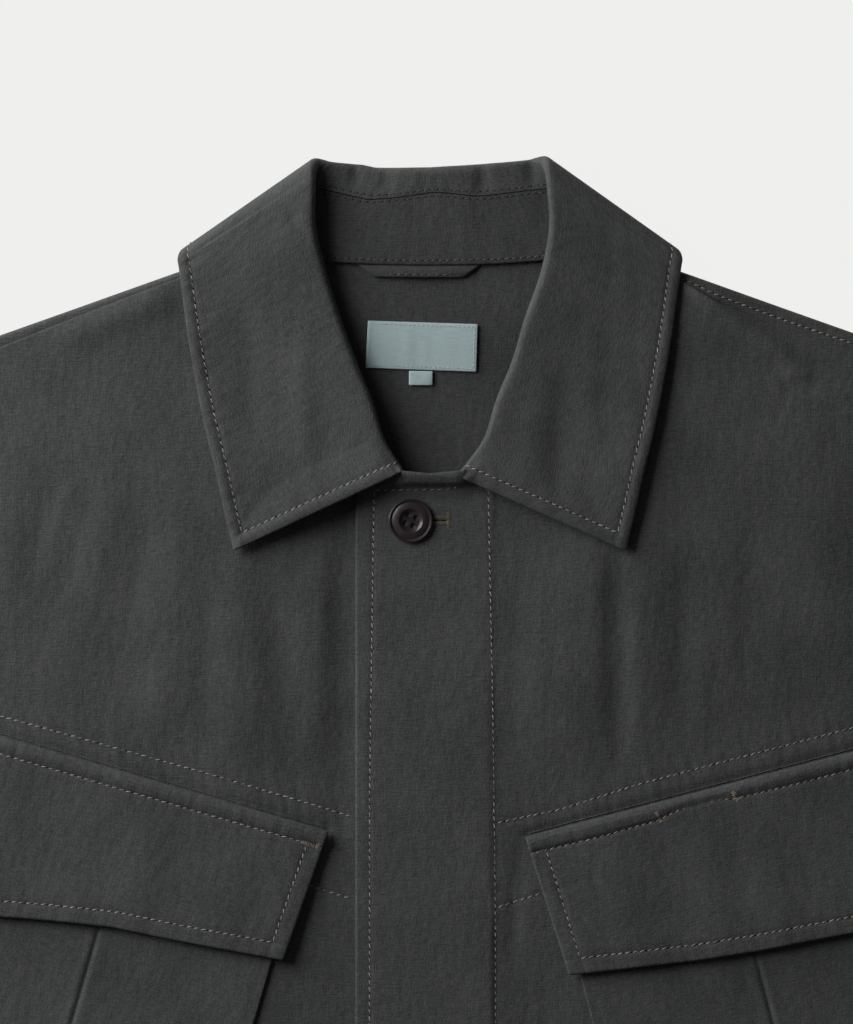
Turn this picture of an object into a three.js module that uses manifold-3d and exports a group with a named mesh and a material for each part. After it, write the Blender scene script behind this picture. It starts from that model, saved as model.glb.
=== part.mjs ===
// A fatigue jacket laid flat on its back, buttoned at the neck, with its sleeves out at an angle.
// Millimetres. +Z is up off the table, +Y points to the collar and +X to the wearer's left.
// Lengths are laid out from the middle of the back neck seam; the origin is under the middle of the jacket.
import * as THREE from "three";
import { mergeVertices } from "three/addons/utils/BufferGeometryUtils.js";
import Module from "manifold-3d";

const wasm = await Module();
wasm.setup();

// Thickness of the cloth pieces, and the clearance between pieces that are sewn or lie together.
const CLOTH = 1.2;
const PLACKET_EXTRA = 0.7;
const COLLAR = 1.6;
const FLAP = 1.8;
const SEAM_GAP = 0.3;

// Body: half widths and lengths, from the middle of the back neck seam.
const BODY_LENGTH = 727;
const COLLAR_TOP = 47.03;
const HALF_HEM = 292;
const NECK_POINT = { x: 89, y: 4.7 };
const SHOULDER_TIP = { x: 235, y: -47 };
const UNDERARM = { x: 288, y: -287 };
const CENTRE_Y = (BODY_LENGTH - COLLAR_TOP) / 2;

// Fronts: where the two centre edges lie, and how deep the neck is cut at the centre of each.
const OVER_EDGE = -33;
const UNDER_EDGE = 29;
const OVER_NECK = -99.3;
const UNDER_NECK = -95.5;
const NECK_CUT = -97.5;

// The collar's fall lies under the back neck and lifts the back panel there.
const NECK_LIFT = 2.4;
const SHOULDER_GAP = 1.6;
const CHEST_GAP = 3.0;

const smooth = (from, to, value) => {
  const t = Math.min(1, Math.max(0, (value - from) / (to - from)));
  return t * t * (3 - 2 * t);
};
const mix = (a, b, t) => a + (b - a) * t;
const toward = (a, b, t) => ({ x: mix(a.x, b.x, t), y: mix(a.y, b.y, t) });

// A value read from a table of rows that rise in one named column, straight between the rows.
function readTable(rows, column, value, wanted) {
  const last = rows.length - 1;
  if (value <= rows[0][column]) return rows[0][wanted];
  if (value >= rows[last][column]) return rows[last][wanted];
  const i = rows.findIndex((row) => row[column] >= value);
  const t = (value - rows[i - 1][column]) / (rows[i][column] - rows[i - 1][column]);
  return mix(rows[i - 1][wanted], rows[i][wanted], t);
}

// Outlines of half the body.
const SIDE_SEAM = [
  { x: HALF_HEM, y: -BODY_LENGTH + 4 },
  { x: 286, y: -600 },
  { x: 283, y: -450 },
  { x: UNDERARM.x, y: UNDERARM.y },
];
const ARMHOLE = [
  { x: UNDERARM.x, y: UNDERARM.y },
  { x: 257, y: -256 },
  { x: 236, y: -214 },
  { x: 226, y: -160 },
  { x: 226, y: -104 },
  { x: SHOULDER_TIP.x, y: SHOULDER_TIP.y },
];
const FRONT_NECK = [
  { x: 0, y: NECK_CUT },
  { x: 31, y: -94.5 },
  { x: 50, y: -87 },
  { x: 64, y: -75.5 },
  { x: 74, y: -60 },
  { x: 82, y: -37 },
  { x: 86.5, y: -12 },
  { x: 87.8, y: 1.2 },
];
const splineOf = (rows) => new THREE.SplineCurve(rows.map((row) => new THREE.Vector2(row.x, row.y)));
const sideCurve = splineOf(SIDE_SEAM);
const armholeCurve = splineOf(ARMHOLE);
// The armhole is cut to the same straight chords on the body and on the sleeve, so that the seam stays even.
const ARMHOLE_CHORDS = 10;
const evenSteps = (count) => Array.from({ length: count + 1 }, (_, i) => i / count);
const armholePoints = evenSteps(ARMHOLE_CHORDS).map((share) => armholeCurve.getPointAt(share));
function armholeAt(share) {
  const i = Math.min(ARMHOLE_CHORDS - 1, Math.floor(share * ARMHOLE_CHORDS));
  return toward(armholePoints[i], armholePoints[i + 1], share * ARMHOLE_CHORDS - i);
}
const EDGE_BY_HEIGHT = [...SIDE_SEAM, ...ARMHOLE.slice(1)];
const edgeXAt = (y) => readTable(EDGE_BY_HEIGHT, "y", y, "x");

const shoulderLength = Math.hypot(SHOULDER_TIP.x - NECK_POINT.x, SHOULDER_TIP.y - NECK_POINT.y);
const shoulderAlong = {
  x: (SHOULDER_TIP.x - NECK_POINT.x) / shoulderLength,
  y: (SHOULDER_TIP.y - NECK_POINT.y) / shoulderLength,
};
// Inward is square to the shoulder at the neck, and along the armhole at the sleeve.
const squareIn = { x: shoulderAlong.y, y: -shoulderAlong.x };
const lastChord = armholePoints[ARMHOLE_CHORDS - 1];
const chordLength = Math.hypot(lastChord.x - SHOULDER_TIP.x, lastChord.y - SHOULDER_TIP.y);
const armholeIn = {
  x: (lastChord.x - SHOULDER_TIP.x) / chordLength,
  y: (lastChord.y - SHOULDER_TIP.y) / chordLength,
};
// The back cloth comes over the shoulder fold and shows as a strip that widens to the sleeve.
const STRIP_WIDTHS = [
  { share: 0, wearersRight: 2.8, wearersLeft: 3 },
  { share: 0.2, wearersRight: 3.1, wearersLeft: 4.6 },
  { share: 0.3, wearersRight: 3.3, wearersLeft: 8.2 },
  { share: 0.5, wearersRight: 4, wearersLeft: 9.5 },
  { share: 0.7, wearersRight: 5.2, wearersLeft: 8.6 },
  { share: 1, wearersRight: 7, wearersLeft: 8 },
];
function stripWidth(share, side) {
  return readTable(STRIP_WIDTHS, "share", share, side > 0 ? "wearersLeft" : "wearersRight");
}
function shoulderPoint(share, inward) {
  const direction = toward(squareIn, armholeIn, share);
  return {
    x: mix(NECK_POINT.x, SHOULDER_TIP.x, share) + direction.x * inward,
    y: mix(NECK_POINT.y, SHOULDER_TIP.y, share) + direction.y * inward,
  };
}

// Folds that the cloth lies in, as ridges between two points. The two fronts have their own.
const FRONT_FOLDS = [
  { x0: -50, y0: -118, x1: -51, y1: -228, width: 9, height: 1.4 },
  { x0: -86, y0: -122, x1: -90, y1: -240, width: 9, height: 1.3 },
  { x0: -112, y0: -105, x1: -122, y1: -222, width: 11, height: 1.3 },
  { x0: -146, y0: -78, x1: -172, y1: -205, width: 13, height: 1.7 },
  { x0: -182, y0: -62, x1: -200, y1: -190, width: 13, height: 1.5 },
  { x0: 62, y0: -118, x1: 60, y1: -240, width: 13, height: 2.0 },
  { x0: 104, y0: -105, x1: 100, y1: -232, width: 11, height: 1.4 },
  { x0: 136, y0: -84, x1: 130, y1: -226, width: 12, height: 1.2 },
  { x0: 172, y0: -62, x1: 178, y1: -205, width: 14, height: 1.7 },
  { x0: -264, y0: -275, x1: -196, y1: -262, width: 13, height: 2.4 },
  { x0: 264, y0: -275, x1: 200, y1: -258, width: 13, height: 2.4 },
  { x0: -248, y0: -420, x1: -226, y1: -640, width: 17, height: 2.4 },
  { x0: -150, y0: -430, x1: -142, y1: -690, width: 20, height: 2.2 },
  { x0: -86, y0: -400, x1: -78, y1: -620, width: 15, height: 1.8 },
  { x0: 82, y0: -390, x1: 90, y1: -650, width: 16, height: 2.0 },
  { x0: 160, y0: -440, x1: 150, y1: -700, width: 20, height: 2.3 },
  { x0: 240, y0: -410, x1: 232, y1: -620, width: 16, height: 2.2 },
];
const SLEEVE_FOLDS = [
  { x0: 300, y0: -250, x1: 392, y1: -150, width: 15, height: 3.0 },
  { x0: 318, y0: -300, x1: 442, y1: -196, width: 13, height: 2.6 },
  { x0: 282, y0: -160, x1: 356, y1: -140, width: 14, height: 2.0 },
  { x0: 360, y0: -350, x1: 470, y1: -262, width: 13, height: 2.2 },
  { x0: 430, y0: -404, x1: 540, y1: -330, width: 14, height: 3.0 },
  { x0: 446, y0: -440, x1: 560, y1: -372, width: 12, height: 2.6 },
  { x0: 520, y0: -492, x1: 612, y1: -436, width: 13, height: 2.0 },
];

// The height that a table of ridges gives at a point. A ridge fades over its first and last quarter.
function foldHeight(folds, x, y) {
  let height = 0;
  for (const fold of folds) {
    const dx = fold.x1 - fold.x0;
    const dy = fold.y1 - fold.y0;
    const length = Math.hypot(dx, dy);
    const along = ((x - fold.x0) * dx + (y - fold.y0) * dy) / (length * length);
    const aside = ((x - fold.x0) * dy - (y - fold.y0) * dx) / length;
    const fade = smooth(0, 0.25, along) * (1 - smooth(0.75, 1, along));
    height += fold.height * fade * Math.exp(-((aside / fold.width) ** 2));
  }
  return height;
}

// How far the back panel's underside is held off the table by the collar under it.
const backUnderside = (x, y) => NECK_LIFT * smooth(-62, -18, y) * (1 - smooth(120, 168, Math.abs(x)));

// The underside of the fronts, as it lies on the back panel.
function frontUnderside(x, y) {
  const aside = Math.abs(x);
  const fromEdge = edgeXAt(y) - aside;
  const atArmhole = smooth(UNDERARM.y - 25, UNDERARM.y + 25, y);
  const edgeGap = mix(SEAM_GAP, SHOULDER_GAP, atArmhole);
  const fromShoulder = (aside - NECK_POINT.x) * squareIn.x + (y - NECK_POINT.y) * squareIn.y;
  const inside = smooth(0, 45, fromEdge) * smooth(0, 70, fromShoulder);
  const nearCentre = 1 - smooth(35, 75, aside);
  const nearHem = 1 - smooth(-BODY_LENGTH, -BODY_LENGTH + 60, y);
  const full = mix(mix(edgeGap, CHEST_GAP, inside), SHOULDER_GAP, Math.max(nearCentre, nearHem * inside));
  return backUnderside(x, y) + CLOTH + full + foldHeight(FRONT_FOLDS, x, y) * smooth(0, 30, fromEdge);
}

// The wearer's left front lies over the right one where they overlap.
const overlapLift = (x) => (CLOTH + SEAM_GAP + 0.2) * (1 - smooth(UNDER_EDGE + 1, UNDER_EDGE + 34, x));
const overThickness = (x) => CLOTH + PLACKET_EXTRA * (1 - smooth(UNDER_EDGE - 2, UNDER_EDGE + 2, x));
const frontRise = (x, isOver) => (isOver ? overlapLift(x) + overThickness(x) : CLOTH);
const frontTop = (x, y, isOver) => frontUnderside(x, y) + frontRise(x, isOver);

// A closed wall from a grid of points with a low and a high surface. Cells that keep() refuses are left out.
function wallGeometry(low, high, keep = () => true, closedRound = false) {
  const positions = [];
  const rows = low.length;
  const columns = low[0].length;
  const lastColumn = closedRound ? columns : columns - 1;
  const quad = (a, b, c, d) => positions.push(...a, ...b, ...c, ...a, ...c, ...d);
  const kept = (r, c) => {
    if (closedRound) c = (c + columns) % columns;
    return r >= 0 && c >= 0 && r < rows - 1 && c < lastColumn && keep(r, c);
  };
  for (let r = 0; r < rows - 1; r += 1) {
    for (let c = 0; c < lastColumn; c += 1) {
      if (!kept(r, c)) continue;
      const n = (c + 1) % columns;
      quad(high[r][c], high[r][n], high[r + 1][n], high[r + 1][c]);
      quad(low[r][c], low[r + 1][c], low[r + 1][n], low[r][n]);
      if (!kept(r - 1, c)) quad(high[r][c], low[r][c], low[r][n], high[r][n]);
      if (!kept(r + 1, c)) quad(high[r + 1][n], low[r + 1][n], low[r + 1][c], high[r + 1][c]);
      if (!kept(r, c - 1)) quad(high[r + 1][c], low[r + 1][c], low[r][c], high[r][c]);
      if (!kept(r, c + 1)) quad(low[r][n], low[r + 1][n], high[r + 1][n], high[r][n]);
    }
  }
  const geometry = new THREE.BufferGeometry();
  geometry.setAttribute("position", new THREE.Float32BufferAttribute(positions, 3));
  return geometry;
}

function solidFrom(geometry) {
  const plain = geometry.index ? geometry.toNonIndexed() : geometry.clone();
  plain.deleteAttribute("normal");
  plain.deleteAttribute("uv");
  const merged = mergeVertices(plain, 1e-3);
  return new wasm.Manifold(
    new wasm.Mesh({
      numProp: 3,
      vertProperties: merged.attributes.position.array,
      triVerts: new Uint32Array(merged.index.array),
    }),
  );
}

function geometryFrom(solid) {
  const mesh = solid.getMesh();
  const positions = new Float32Array(mesh.numVert * 3);
  for (let i = 0; i < mesh.numVert; i += 1) {
    positions.set(mesh.vertProperties.subarray(i * mesh.numProp, i * mesh.numProp + 3), i * 3);
  }
  const geometry = new THREE.BufferGeometry();
  geometry.setAttribute("position", new THREE.BufferAttribute(positions, 3));
  geometry.setIndex(new THREE.BufferAttribute(new Uint32Array(mesh.triVerts), 1));
  return geometry;
}

// An upright prism over an outline, tall enough to cut anything that lies on the jacket.
const PRISM_TOP = 60;
function prism(outline) {
  const shape = new THREE.Shape(outline.map((point) => new THREE.Vector2(point.x, point.y)));
  return solidFrom(new THREE.ExtrudeGeometry(shape, { depth: PRISM_TOP, bevelEnabled: false }));
}

// What lies on a panel: the panel's own top points moved out from one height to another, cut to an outline.
function layOn(grid, outline, from, to) {
  const moved = (by) => grid.top.map((row) => row.map((point) => [point[0], point[1], point[2] + by]));
  return solidFrom(wallGeometry(moved(from), moved(to))).intersect(prism(outline));
}

// Fronts. Columns are named by where they meet the hem, rows by where they meet the centre and side edges.
const NECK_COLUMNS = [31, 50, 64, 74, 82, 86.5];
const CENTRE_COLUMNS = [0.34, 0.66];
const SHOULDER_COLUMNS = 10;
const LOWER_ROWS = 8;
const UPPER_ROWS = 2 * ARMHOLE_CHORDS;
const ROW_OF_UNDERARM_AT_CENTRE = -322;

function frontColumns(edge) {
  const inner = CENTRE_COLUMNS.map((share) => mix(edge, UNDER_EDGE - 2.5, share));
  const outer = evenSteps(SHOULDER_COLUMNS).map((share) => mix(NECK_POINT.x, HALF_HEM, share));
  return [edge, ...inner, UNDER_EDGE - 2.5, ...NECK_COLUMNS, ...outer];
}

function frontNeckY(x, isOver) {
  const nearCentre = 1 - smooth(20, 50, x);
  return readTable(FRONT_NECK, "x", x, "y") + nearCentre * ((isOver ? OVER_NECK : UNDER_NECK) - NECK_CUT);
}

// x runs from the centre edge to the side for either front, so it is turned round for the wearer's right.
function frontGrid(isOver) {
  const side = isOver ? 1 : -1;
  const edge = isOver ? OVER_EDGE : -UNDER_EDGE;
  const columns = frontColumns(edge);
  const rows = LOWER_ROWS + UPPER_ROWS;
  const topPoint = (x) => {
    if (x < NECK_POINT.x) return { x, y: frontNeckY(Math.abs(x), isOver) };
    const share = (x - NECK_POINT.x) / (HALF_HEM - NECK_POINT.x);
    return shoulderPoint(share, stripWidth(share, side) + SEAM_GAP + 0.05);
  };
  const topStart = topPoint(edge);
  const topEnd = topPoint(HALF_HEM);
  const low = [];
  const top = [];
  for (let row = 0; row <= rows; row += 1) {
    const inLower = row <= LOWER_ROWS;
    const lowShare = row / LOWER_ROWS;
    const highShare = (row - LOWER_ROWS) / UPPER_ROWS;
    const centreY = inLower
      ? mix(-BODY_LENGTH, ROW_OF_UNDERARM_AT_CENTRE, lowShare)
      : mix(ROW_OF_UNDERARM_AT_CENTRE, topStart.y, highShare);
    const sidePoint = inLower ? sideCurve.getPointAt(lowShare) : armholeAt(highShare);
    // The top row's end is the shoulder seam, a little inside the armhole curve's own end.
    const shift = inLower ? 0 : highShare ** 8;
    const end = {
      x: sidePoint.x + (topEnd.x - SHOULDER_TIP.x) * shift,
      y: sidePoint.y + (topEnd.y - SHOULDER_TIP.y) * shift,
    };
    const bend = inLower ? 0 : highShare ** 1.5;
    const lowRow = [];
    const topRow = [];
    for (const column of columns) {
      const across = (column - edge) / (HALF_HEM - edge);
      const chordTop = toward(topStart, topEnd, across);
      const wanted = topPoint(column);
      const x = mix(edge, end.x, across) + (wanted.x - chordTop.x) * bend;
      const y = mix(centreY, end.y, across) + (wanted.y - chordTop.y) * bend;
      const realX = x * side;
      const under = frontUnderside(realX, y) + (isOver ? overlapLift(x) : 0);
      const thick = isOver ? overThickness(x) : CLOTH;
      lowRow.push([realX, y, under]);
      topRow.push([realX, y, under + thick]);
    }
    if (side < 0) {
      lowRow.reverse();
      topRow.reverse();
    }
    low.push(lowRow);
    top.push(topRow);
  }
  return { low, top };
}

// Back panel, with the strips that fold over the shoulders. Columns are for the half from the middle outward.
const BACK_NECK_COLUMNS = [0, 25, 48, 66, 79];
const BACK_LOWER_ROWS = 4;
const BACK_UPPER_ROWS = ARMHOLE_CHORDS;
const FOLD_STEPS = 4;
const FOLD_HEIGHT = 2 * CLOTH + SHOULDER_GAP;
const FOLD_RADIUS = FOLD_HEIGHT / 2;

function backGrid() {
  const outer = evenSteps(SHOULDER_COLUMNS).map((share) => mix(NECK_POINT.x, HALF_HEM, share));
  const half = [...BACK_NECK_COLUMNS, ...outer];
  const columns = [...half.slice(1).reverse().map((x) => -x), ...half];
  const plateRows = BACK_LOWER_ROWS + BACK_UPPER_ROWS;
  const topPoint = (x) => {
    if (x < NECK_POINT.x) return { x, y: NECK_POINT.y * (x / NECK_POINT.x) ** 2 };
    const share = (x - NECK_POINT.x) / (HALF_HEM - NECK_POINT.x);
    return shoulderPoint(share, FOLD_RADIUS);
  };
  const topEnd = topPoint(HALF_HEM);
  const low = [];
  const top = [];
  for (let row = 0; row <= plateRows; row += 1) {
    const inLower = row <= BACK_LOWER_ROWS;
    const lowShare = row / BACK_LOWER_ROWS;
    const highShare = (row - BACK_LOWER_ROWS) / BACK_UPPER_ROWS;
    const sidePoint = inLower ? sideCurve.getPointAt(lowShare) : armholeAt(highShare);
    const shift = inLower ? 0 : highShare ** 8;
    const end = {
      x: sidePoint.x + (topEnd.x - SHOULDER_TIP.x) * shift,
      y: sidePoint.y + (topEnd.y - SHOULDER_TIP.y) * shift,
    };
    const middleY = inLower ? mix(-BODY_LENGTH, UNDERARM.y, lowShare) : mix(UNDERARM.y, topEnd.y, highShare);
    const bend = inLower ? 0 : highShare ** 1.5;
    const lowRow = [];
    const topRow = [];
    for (const column of columns) {
      const side = Math.sign(column) || 1;
      const across = Math.abs(column) / HALF_HEM;
      const wanted = topPoint(Math.abs(column));
      const x = end.x * across + (wanted.x - topEnd.x * across) * bend;
      const y = mix(middleY, end.y, across) + (wanted.y - topEnd.y) * bend;
      const under = backUnderside(x, y);
      lowRow.push([x * side, y, under]);
      topRow.push([x * side, y, under + CLOTH]);
    }
    low.push(lowRow);
    top.push(topRow);
  }
  const plate = { low: low.slice(), top: top.slice() };
  // Round the shoulder fold, and along the strip to the seam with the front.
  const neckColumn = (column) => Math.abs(column) < NECK_POINT.x;
  for (let step = 1; step <= FOLD_STEPS + 1; step += 1) {
    const lowRow = [];
    const topRow = [];
    for (const column of columns) {
      const side = Math.sign(column) || 1;
      const share = Math.max(0, (Math.abs(column) - NECK_POINT.x) / (HALF_HEM - NECK_POINT.x));
      const onStrip = step > FOLD_STEPS;
      const angle = Math.min(1, step / FOLD_STEPS) * Math.PI;
      const place = (radius) => {
        const inward = onStrip ? stripWidth(share, side) : FOLD_RADIUS - radius * Math.sin(angle);
        const at = shoulderPoint(share, inward);
        const z = backUnderside(at.x, at.y) + FOLD_RADIUS - radius * Math.cos(angle);
        return [at.x * side, at.y, z];
      };
      lowRow.push(place(FOLD_RADIUS));
      topRow.push(place(FOLD_RADIUS - CLOTH));
    }
    low.push(lowRow);
    top.push(topRow);
  }
  const keep = (row, c) => row < plateRows || !(neckColumn(columns[c]) || neckColumn(columns[c + 1]));
  return { plate, geometry: wallGeometry(low, top, keep) };
}

// Sleeves: flat tubes between the armhole and the cuff, drawn for the wearer's left.
const SLEEVE_OUTER = [
  { x: SHOULDER_TIP.x, y: SHOULDER_TIP.y },
  { x: 300, y: -76 },
  { x: 366, y: -116 },
  { x: 425, y: -168 },
  { x: 482, y: -236 },
  { x: 540, y: -309 },
  { x: 604, y: -391 },
  { x: 668, y: -473 },
];
const SLEEVE_INNER = [
  { x: UNDERARM.x, y: UNDERARM.y },
  { x: 340, y: -339 },
  { x: 404, y: -402 },
  { x: 480, y: -478 },
  { x: 561, y: -556 },
];
const SLEEVE_ROWS = 14;
const SLEEVE_COLUMNS = ARMHOLE_CHORDS;
const SLEEVE_CROWN = 2.0;
const SLEEVE_EDGE_BULGE = 1.6;
const EDGE_INSET = 0.6 * CLOTH;
const ARMHOLE_GAP = 0.4;

function sleeveGeometry(side) {
  const outer = splineOf(SLEEVE_OUTER);
  const inner = splineOf(SLEEVE_INNER);
  const low = [];
  const high = [];
  const planPoint = (across, along) => {
    const innerPoint = inner.getPointAt(along);
    const outerPoint = outer.getPointAt(along);
    const armPoint = armholeAt(across);
    const armChord = toward(UNDERARM, SHOULDER_TIP, across);
    const fade = (1 - along) ** 3;
    return {
      x: mix(innerPoint.x, outerPoint.x, across) + (armPoint.x - armChord.x) * fade,
      y: mix(innerPoint.y, outerPoint.y, across) + (armPoint.y - armChord.y) * fade,
    };
  };
  for (let row = 0; row <= SLEEVE_ROWS; row += 1) {
    const along = row / SLEEVE_ROWS;
    const outside = [];
    const inside = [];
    const across = (i) => i / SLEEVE_COLUMNS;
    const at = (i) => planPoint(across(i), along);
    const start = at(0);
    const end = at(SLEEVE_COLUMNS);
    const width = Math.hypot(end.x - start.x, end.y - start.y);
    const out = { x: (end.x - start.x) / width, y: (end.y - start.y) / width };
    // The first row stands clear of the armhole edge of the body.
    const clear = row === 0 ? ARMHOLE_GAP : 0;
    const push = { x: clear * out.y, y: -clear * out.x };
    const place = (point, shift, z) => {
      const x = point.x + out.x * shift + push.x;
      return [x * side, point.y + out.y * shift + push.y, z];
    };
    const height = (i) => {
      const point = at(i);
      const crown = SLEEVE_CROWN * Math.sin(Math.PI * across(i)) * smooth(0, 0.15, along);
      const folds = foldHeight(SLEEVE_FOLDS, point.x, point.y) * smooth(0, 0.06, along);
      const fade = smooth(0, 0.14, across(i)) * (1 - smooth(0.86, 1, across(i)));
      return 2 * CLOTH + SHOULDER_GAP + crown + folds * fade;
    };
    const inset = (i) => EDGE_INSET * ((i === 0 ? 1 : 0) - (i === SLEEVE_COLUMNS ? 1 : 0));
    for (let i = 0; i <= SLEEVE_COLUMNS; i += 1) {
      outside.push(place(at(i), 0, 0));
      inside.push(place(at(i), inset(i), CLOTH));
    }
    outside.push(place(end, SLEEVE_EDGE_BULGE, height(SLEEVE_COLUMNS) / 2));
    inside.push(place(end, SLEEVE_EDGE_BULGE - CLOTH, height(SLEEVE_COLUMNS) / 2));
    for (let i = SLEEVE_COLUMNS; i >= 0; i -= 1) {
      outside.push(place(at(i), 0, height(i)));
      inside.push(place(at(i), inset(i), height(i) - CLOTH));
    }
    outside.push(place(start, -SLEEVE_EDGE_BULGE, height(0) / 2));
    inside.push(place(start, CLOTH - SLEEVE_EDGE_BULGE, height(0) / 2));
    if (side < 0) {
      outside.reverse();
      inside.reverse();
    }
    low.push(inside);
    high.push(outside);
  }
  return wallGeometry(low, high, undefined, true);
}

// Collar stations for the wearer's left, from the front end to the middle of the back.
// neck is where the stand is sewn on, roll is the fold line and edge is the fall's free edge.
// turn is how far the fall has gone round the stand: 0 lies over it, 90 beside it and 180 under it.
// round is the radius of the roll.
// The roll of the wearer's right leaf lies a little nearer the middle than that of the left.
const COLLAR_FRONT = [
  {
    neckX: 16.5, rightRollX: 12.6, leftRollX: 13.2, rollY: -94.8, rollZ: 7.9,
    edgeX: 88.6, edgeY: -130.2, turn: 0, round: 1.2,
  },
  {
    neckX: 31, rightRollX: 21, leftRollX: 24.8, rollY: -81, rollZ: 8.3,
    edgeX: 93, edgeY: -112, turn: 0, round: 1.7,
  },
  {
    neckX: 50, rightRollX: 26.8, leftRollX: 30.7, rollY: -63, rollZ: 8.8,
    edgeX: 97.2, edgeY: -93, turn: 0, round: 2.1,
  },
  {
    neckX: 64, rightRollX: 34.2, leftRollX: 38, rollY: -45, rollZ: 9.2,
    edgeX: 101.8, edgeY: -74, turn: 0, round: 2.3,
  },
  {
    neckX: 74, rightRollX: 42, leftRollX: 43.6, rollY: -26, rollZ: 9.4,
    edgeX: 105.8, edgeY: -54, turn: 0, round: 2.4,
  },
  {
    neckX: 82, rightRollX: 49.6, leftRollX: 51.2, rollY: -4, rollZ: 9.5,
    edgeX: 109.4, edgeY: -33, turn: 0, round: 2.4,
  },
  {
    neckX: 86.5, rightRollX: 53.8, leftRollX: 54.8, rollY: 16, rollZ: 9.4,
    edgeX: 112, edgeY: -14, turn: 0, round: 2.3,
  },
  {
    neckX: 87.4, rightRollX: 53.4, leftRollX: 53.8, rollY: 34, rollZ: 9.1,
    edgeX: 113.4, edgeY: -3, turn: 6, round: 2.1,
  },
];
const COLLAR_SIDE = [
  {
    neckX: 88, neckY: 3.4, neckZ: 5.1, rollX: 52.4, rollY: 42.4, rollZ: 8,
    edgeX: 114, edgeY: 2, edgeZ: 8, turn: 35, round: 1.9,
  },
  {
    neckX: 88.2, neckY: 5.2, neckZ: 4.4, rollX: 51.2, rollY: 45.6, rollZ: 5.6,
    edgeX: 111.8, edgeY: 5.8, edgeZ: 5, turn: 90, round: 1.8,
  },
  {
    neckX: 86.4, neckY: 5.8, neckZ: 3.9, rollX: 48.6, rollY: 46, rollZ: 3.3,
    edgeX: 106.5, edgeY: 6, edgeZ: 2.2, turn: 145, round: 1.7,
  },
];
// At the back the stand's seam lies on the back panel, and the fall is folded under both.
const COLLAR_BACK = [
  {
    neckX: 79, neckY: 6, neckZ: 3.9, rollX: 45.2, rollY: 45.3, rollZ: 2.5,
    edgeX: 95, edgeY: 0, turn: 174, round: 1.6,
  },
  {
    neckX: 66, neckY: 3.9, neckZ: 4.6, rollX: 39, rollY: 44.8, rollZ: 2.7,
    edgeX: 78, edgeY: -6, turn: 180, round: 1.8,
  },
  {
    neckX: 48, neckY: 1.8, neckZ: 5, rollX: 28, rollY: 44.2, rollZ: 3.2,
    edgeX: 55, edgeY: -10.5, turn: 180, round: 2.3,
  },
  {
    neckX: 25, neckY: 0.8, neckZ: 5, rollX: 15, rollY: 43.5, rollZ: 3.6,
    edgeX: 28, edgeY: -13.4, turn: 180, round: 2.7,
  },
  {
    neckX: 0, neckY: 0.7, neckZ: 5, rollX: 0, rollY: 43.1, rollZ: 3.7,
    edgeX: 0, edgeY: -14, turn: 180, round: 2.8,
  },
];
// The front end of the wearer's left leaf hangs a little lower than that of the right.
const LEFT_END_DROP = 0.8;
const NECK_CLEARANCE = 1.2;
const NECK_MIDDLE = { x: 0, y: -35 };
const STAND_SHARE = 0.76;
const FALL_STEPS = 4;
const ROLL_STEPS = 4;
const SILHOUETTE_NORMAL = new THREE.Vector3(0.567, 0.824, 0);

// The centre line of the collar across one station: the stand up to its seam, then the roll and the fall.
function collarSection(station, side) {
  const flat = new THREE.Vector3(NECK_MIDDLE.x, NECK_MIDDLE.y, 0);
  const neck = new THREE.Vector3(station.neckX, station.neckY, 0);
  neck.addScaledVector(flat.clone().sub(neck).normalize(), NECK_CLEARANCE);
  neck.z = station.neckZ;
  const roll = new THREE.Vector3(station.rollX, station.rollY, station.rollZ);
  const edge = new THREE.Vector3(station.edgeX, station.edgeY, station.edgeZ);
  const turn = THREE.MathUtils.degToRad(station.turn);
  const outward = new THREE.Vector3(0, 0, Math.cos(turn)).addScaledVector(SILHOUETTE_NORMAL, Math.sin(turn));
  const legs = neck.clone().add(edge).multiplyScalar(0.5).sub(roll);
  legs.addScaledVector(outward, -legs.dot(outward)).normalize();
  const centre = roll.clone().addScaledVector(legs, station.round);
  const arc = [];
  for (let i = 0; i <= ROLL_STEPS; i += 1) {
    const angle = (i / ROLL_STEPS) * Math.PI;
    arc.push(
      centre
        .clone()
        .addScaledVector(outward, -Math.cos(angle) * station.round)
        .addScaledVector(legs, -Math.sin(angle) * station.round),
    );
  }
  const seam = neck.clone().lerp(arc[0], STAND_SHARE);
  const gap = (1.5 * SEAM_GAP) / seam.distanceTo(arc[0]);
  const line = [neck, neck.clone().lerp(seam, 0.5), seam, seam.clone().lerp(arc[0], gap), ...arc];
  for (let i = 1; i <= FALL_STEPS; i += 1) line.push(arc[ROLL_STEPS].clone().lerp(edge, i / FALL_STEPS));
  return line.map((point) => new THREE.Vector3(point.x * side, point.y, point.z));
}

function collarStations(side) {
  const isOver = side > 0;
  const front = COLLAR_FRONT.map((row, i) => {
    const rollX = isOver ? row.leftRollX : row.rightRollX;
    const rollY = row.rollY - (isOver && i === 0 ? LEFT_END_DROP : 0);
    const neckY = frontNeckY(row.neckX, isOver);
    const neckZ = frontTop(row.neckX * side, neckY, isOver) - CLOTH / 2;
    const edgeZ = frontTop(row.edgeX * side, row.edgeY, isOver) + SEAM_GAP + COLLAR / 2 + 0.5;
    return { ...row, rollX, rollY, neckY, neckZ, edgeZ };
  });
  const back = COLLAR_BACK.map((row) => ({ ...row, edgeZ: COLLAR / 2 }));
  return [...front, ...COLLAR_SIDE, ...back].map((row) => collarSection(row, side));
}

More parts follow.
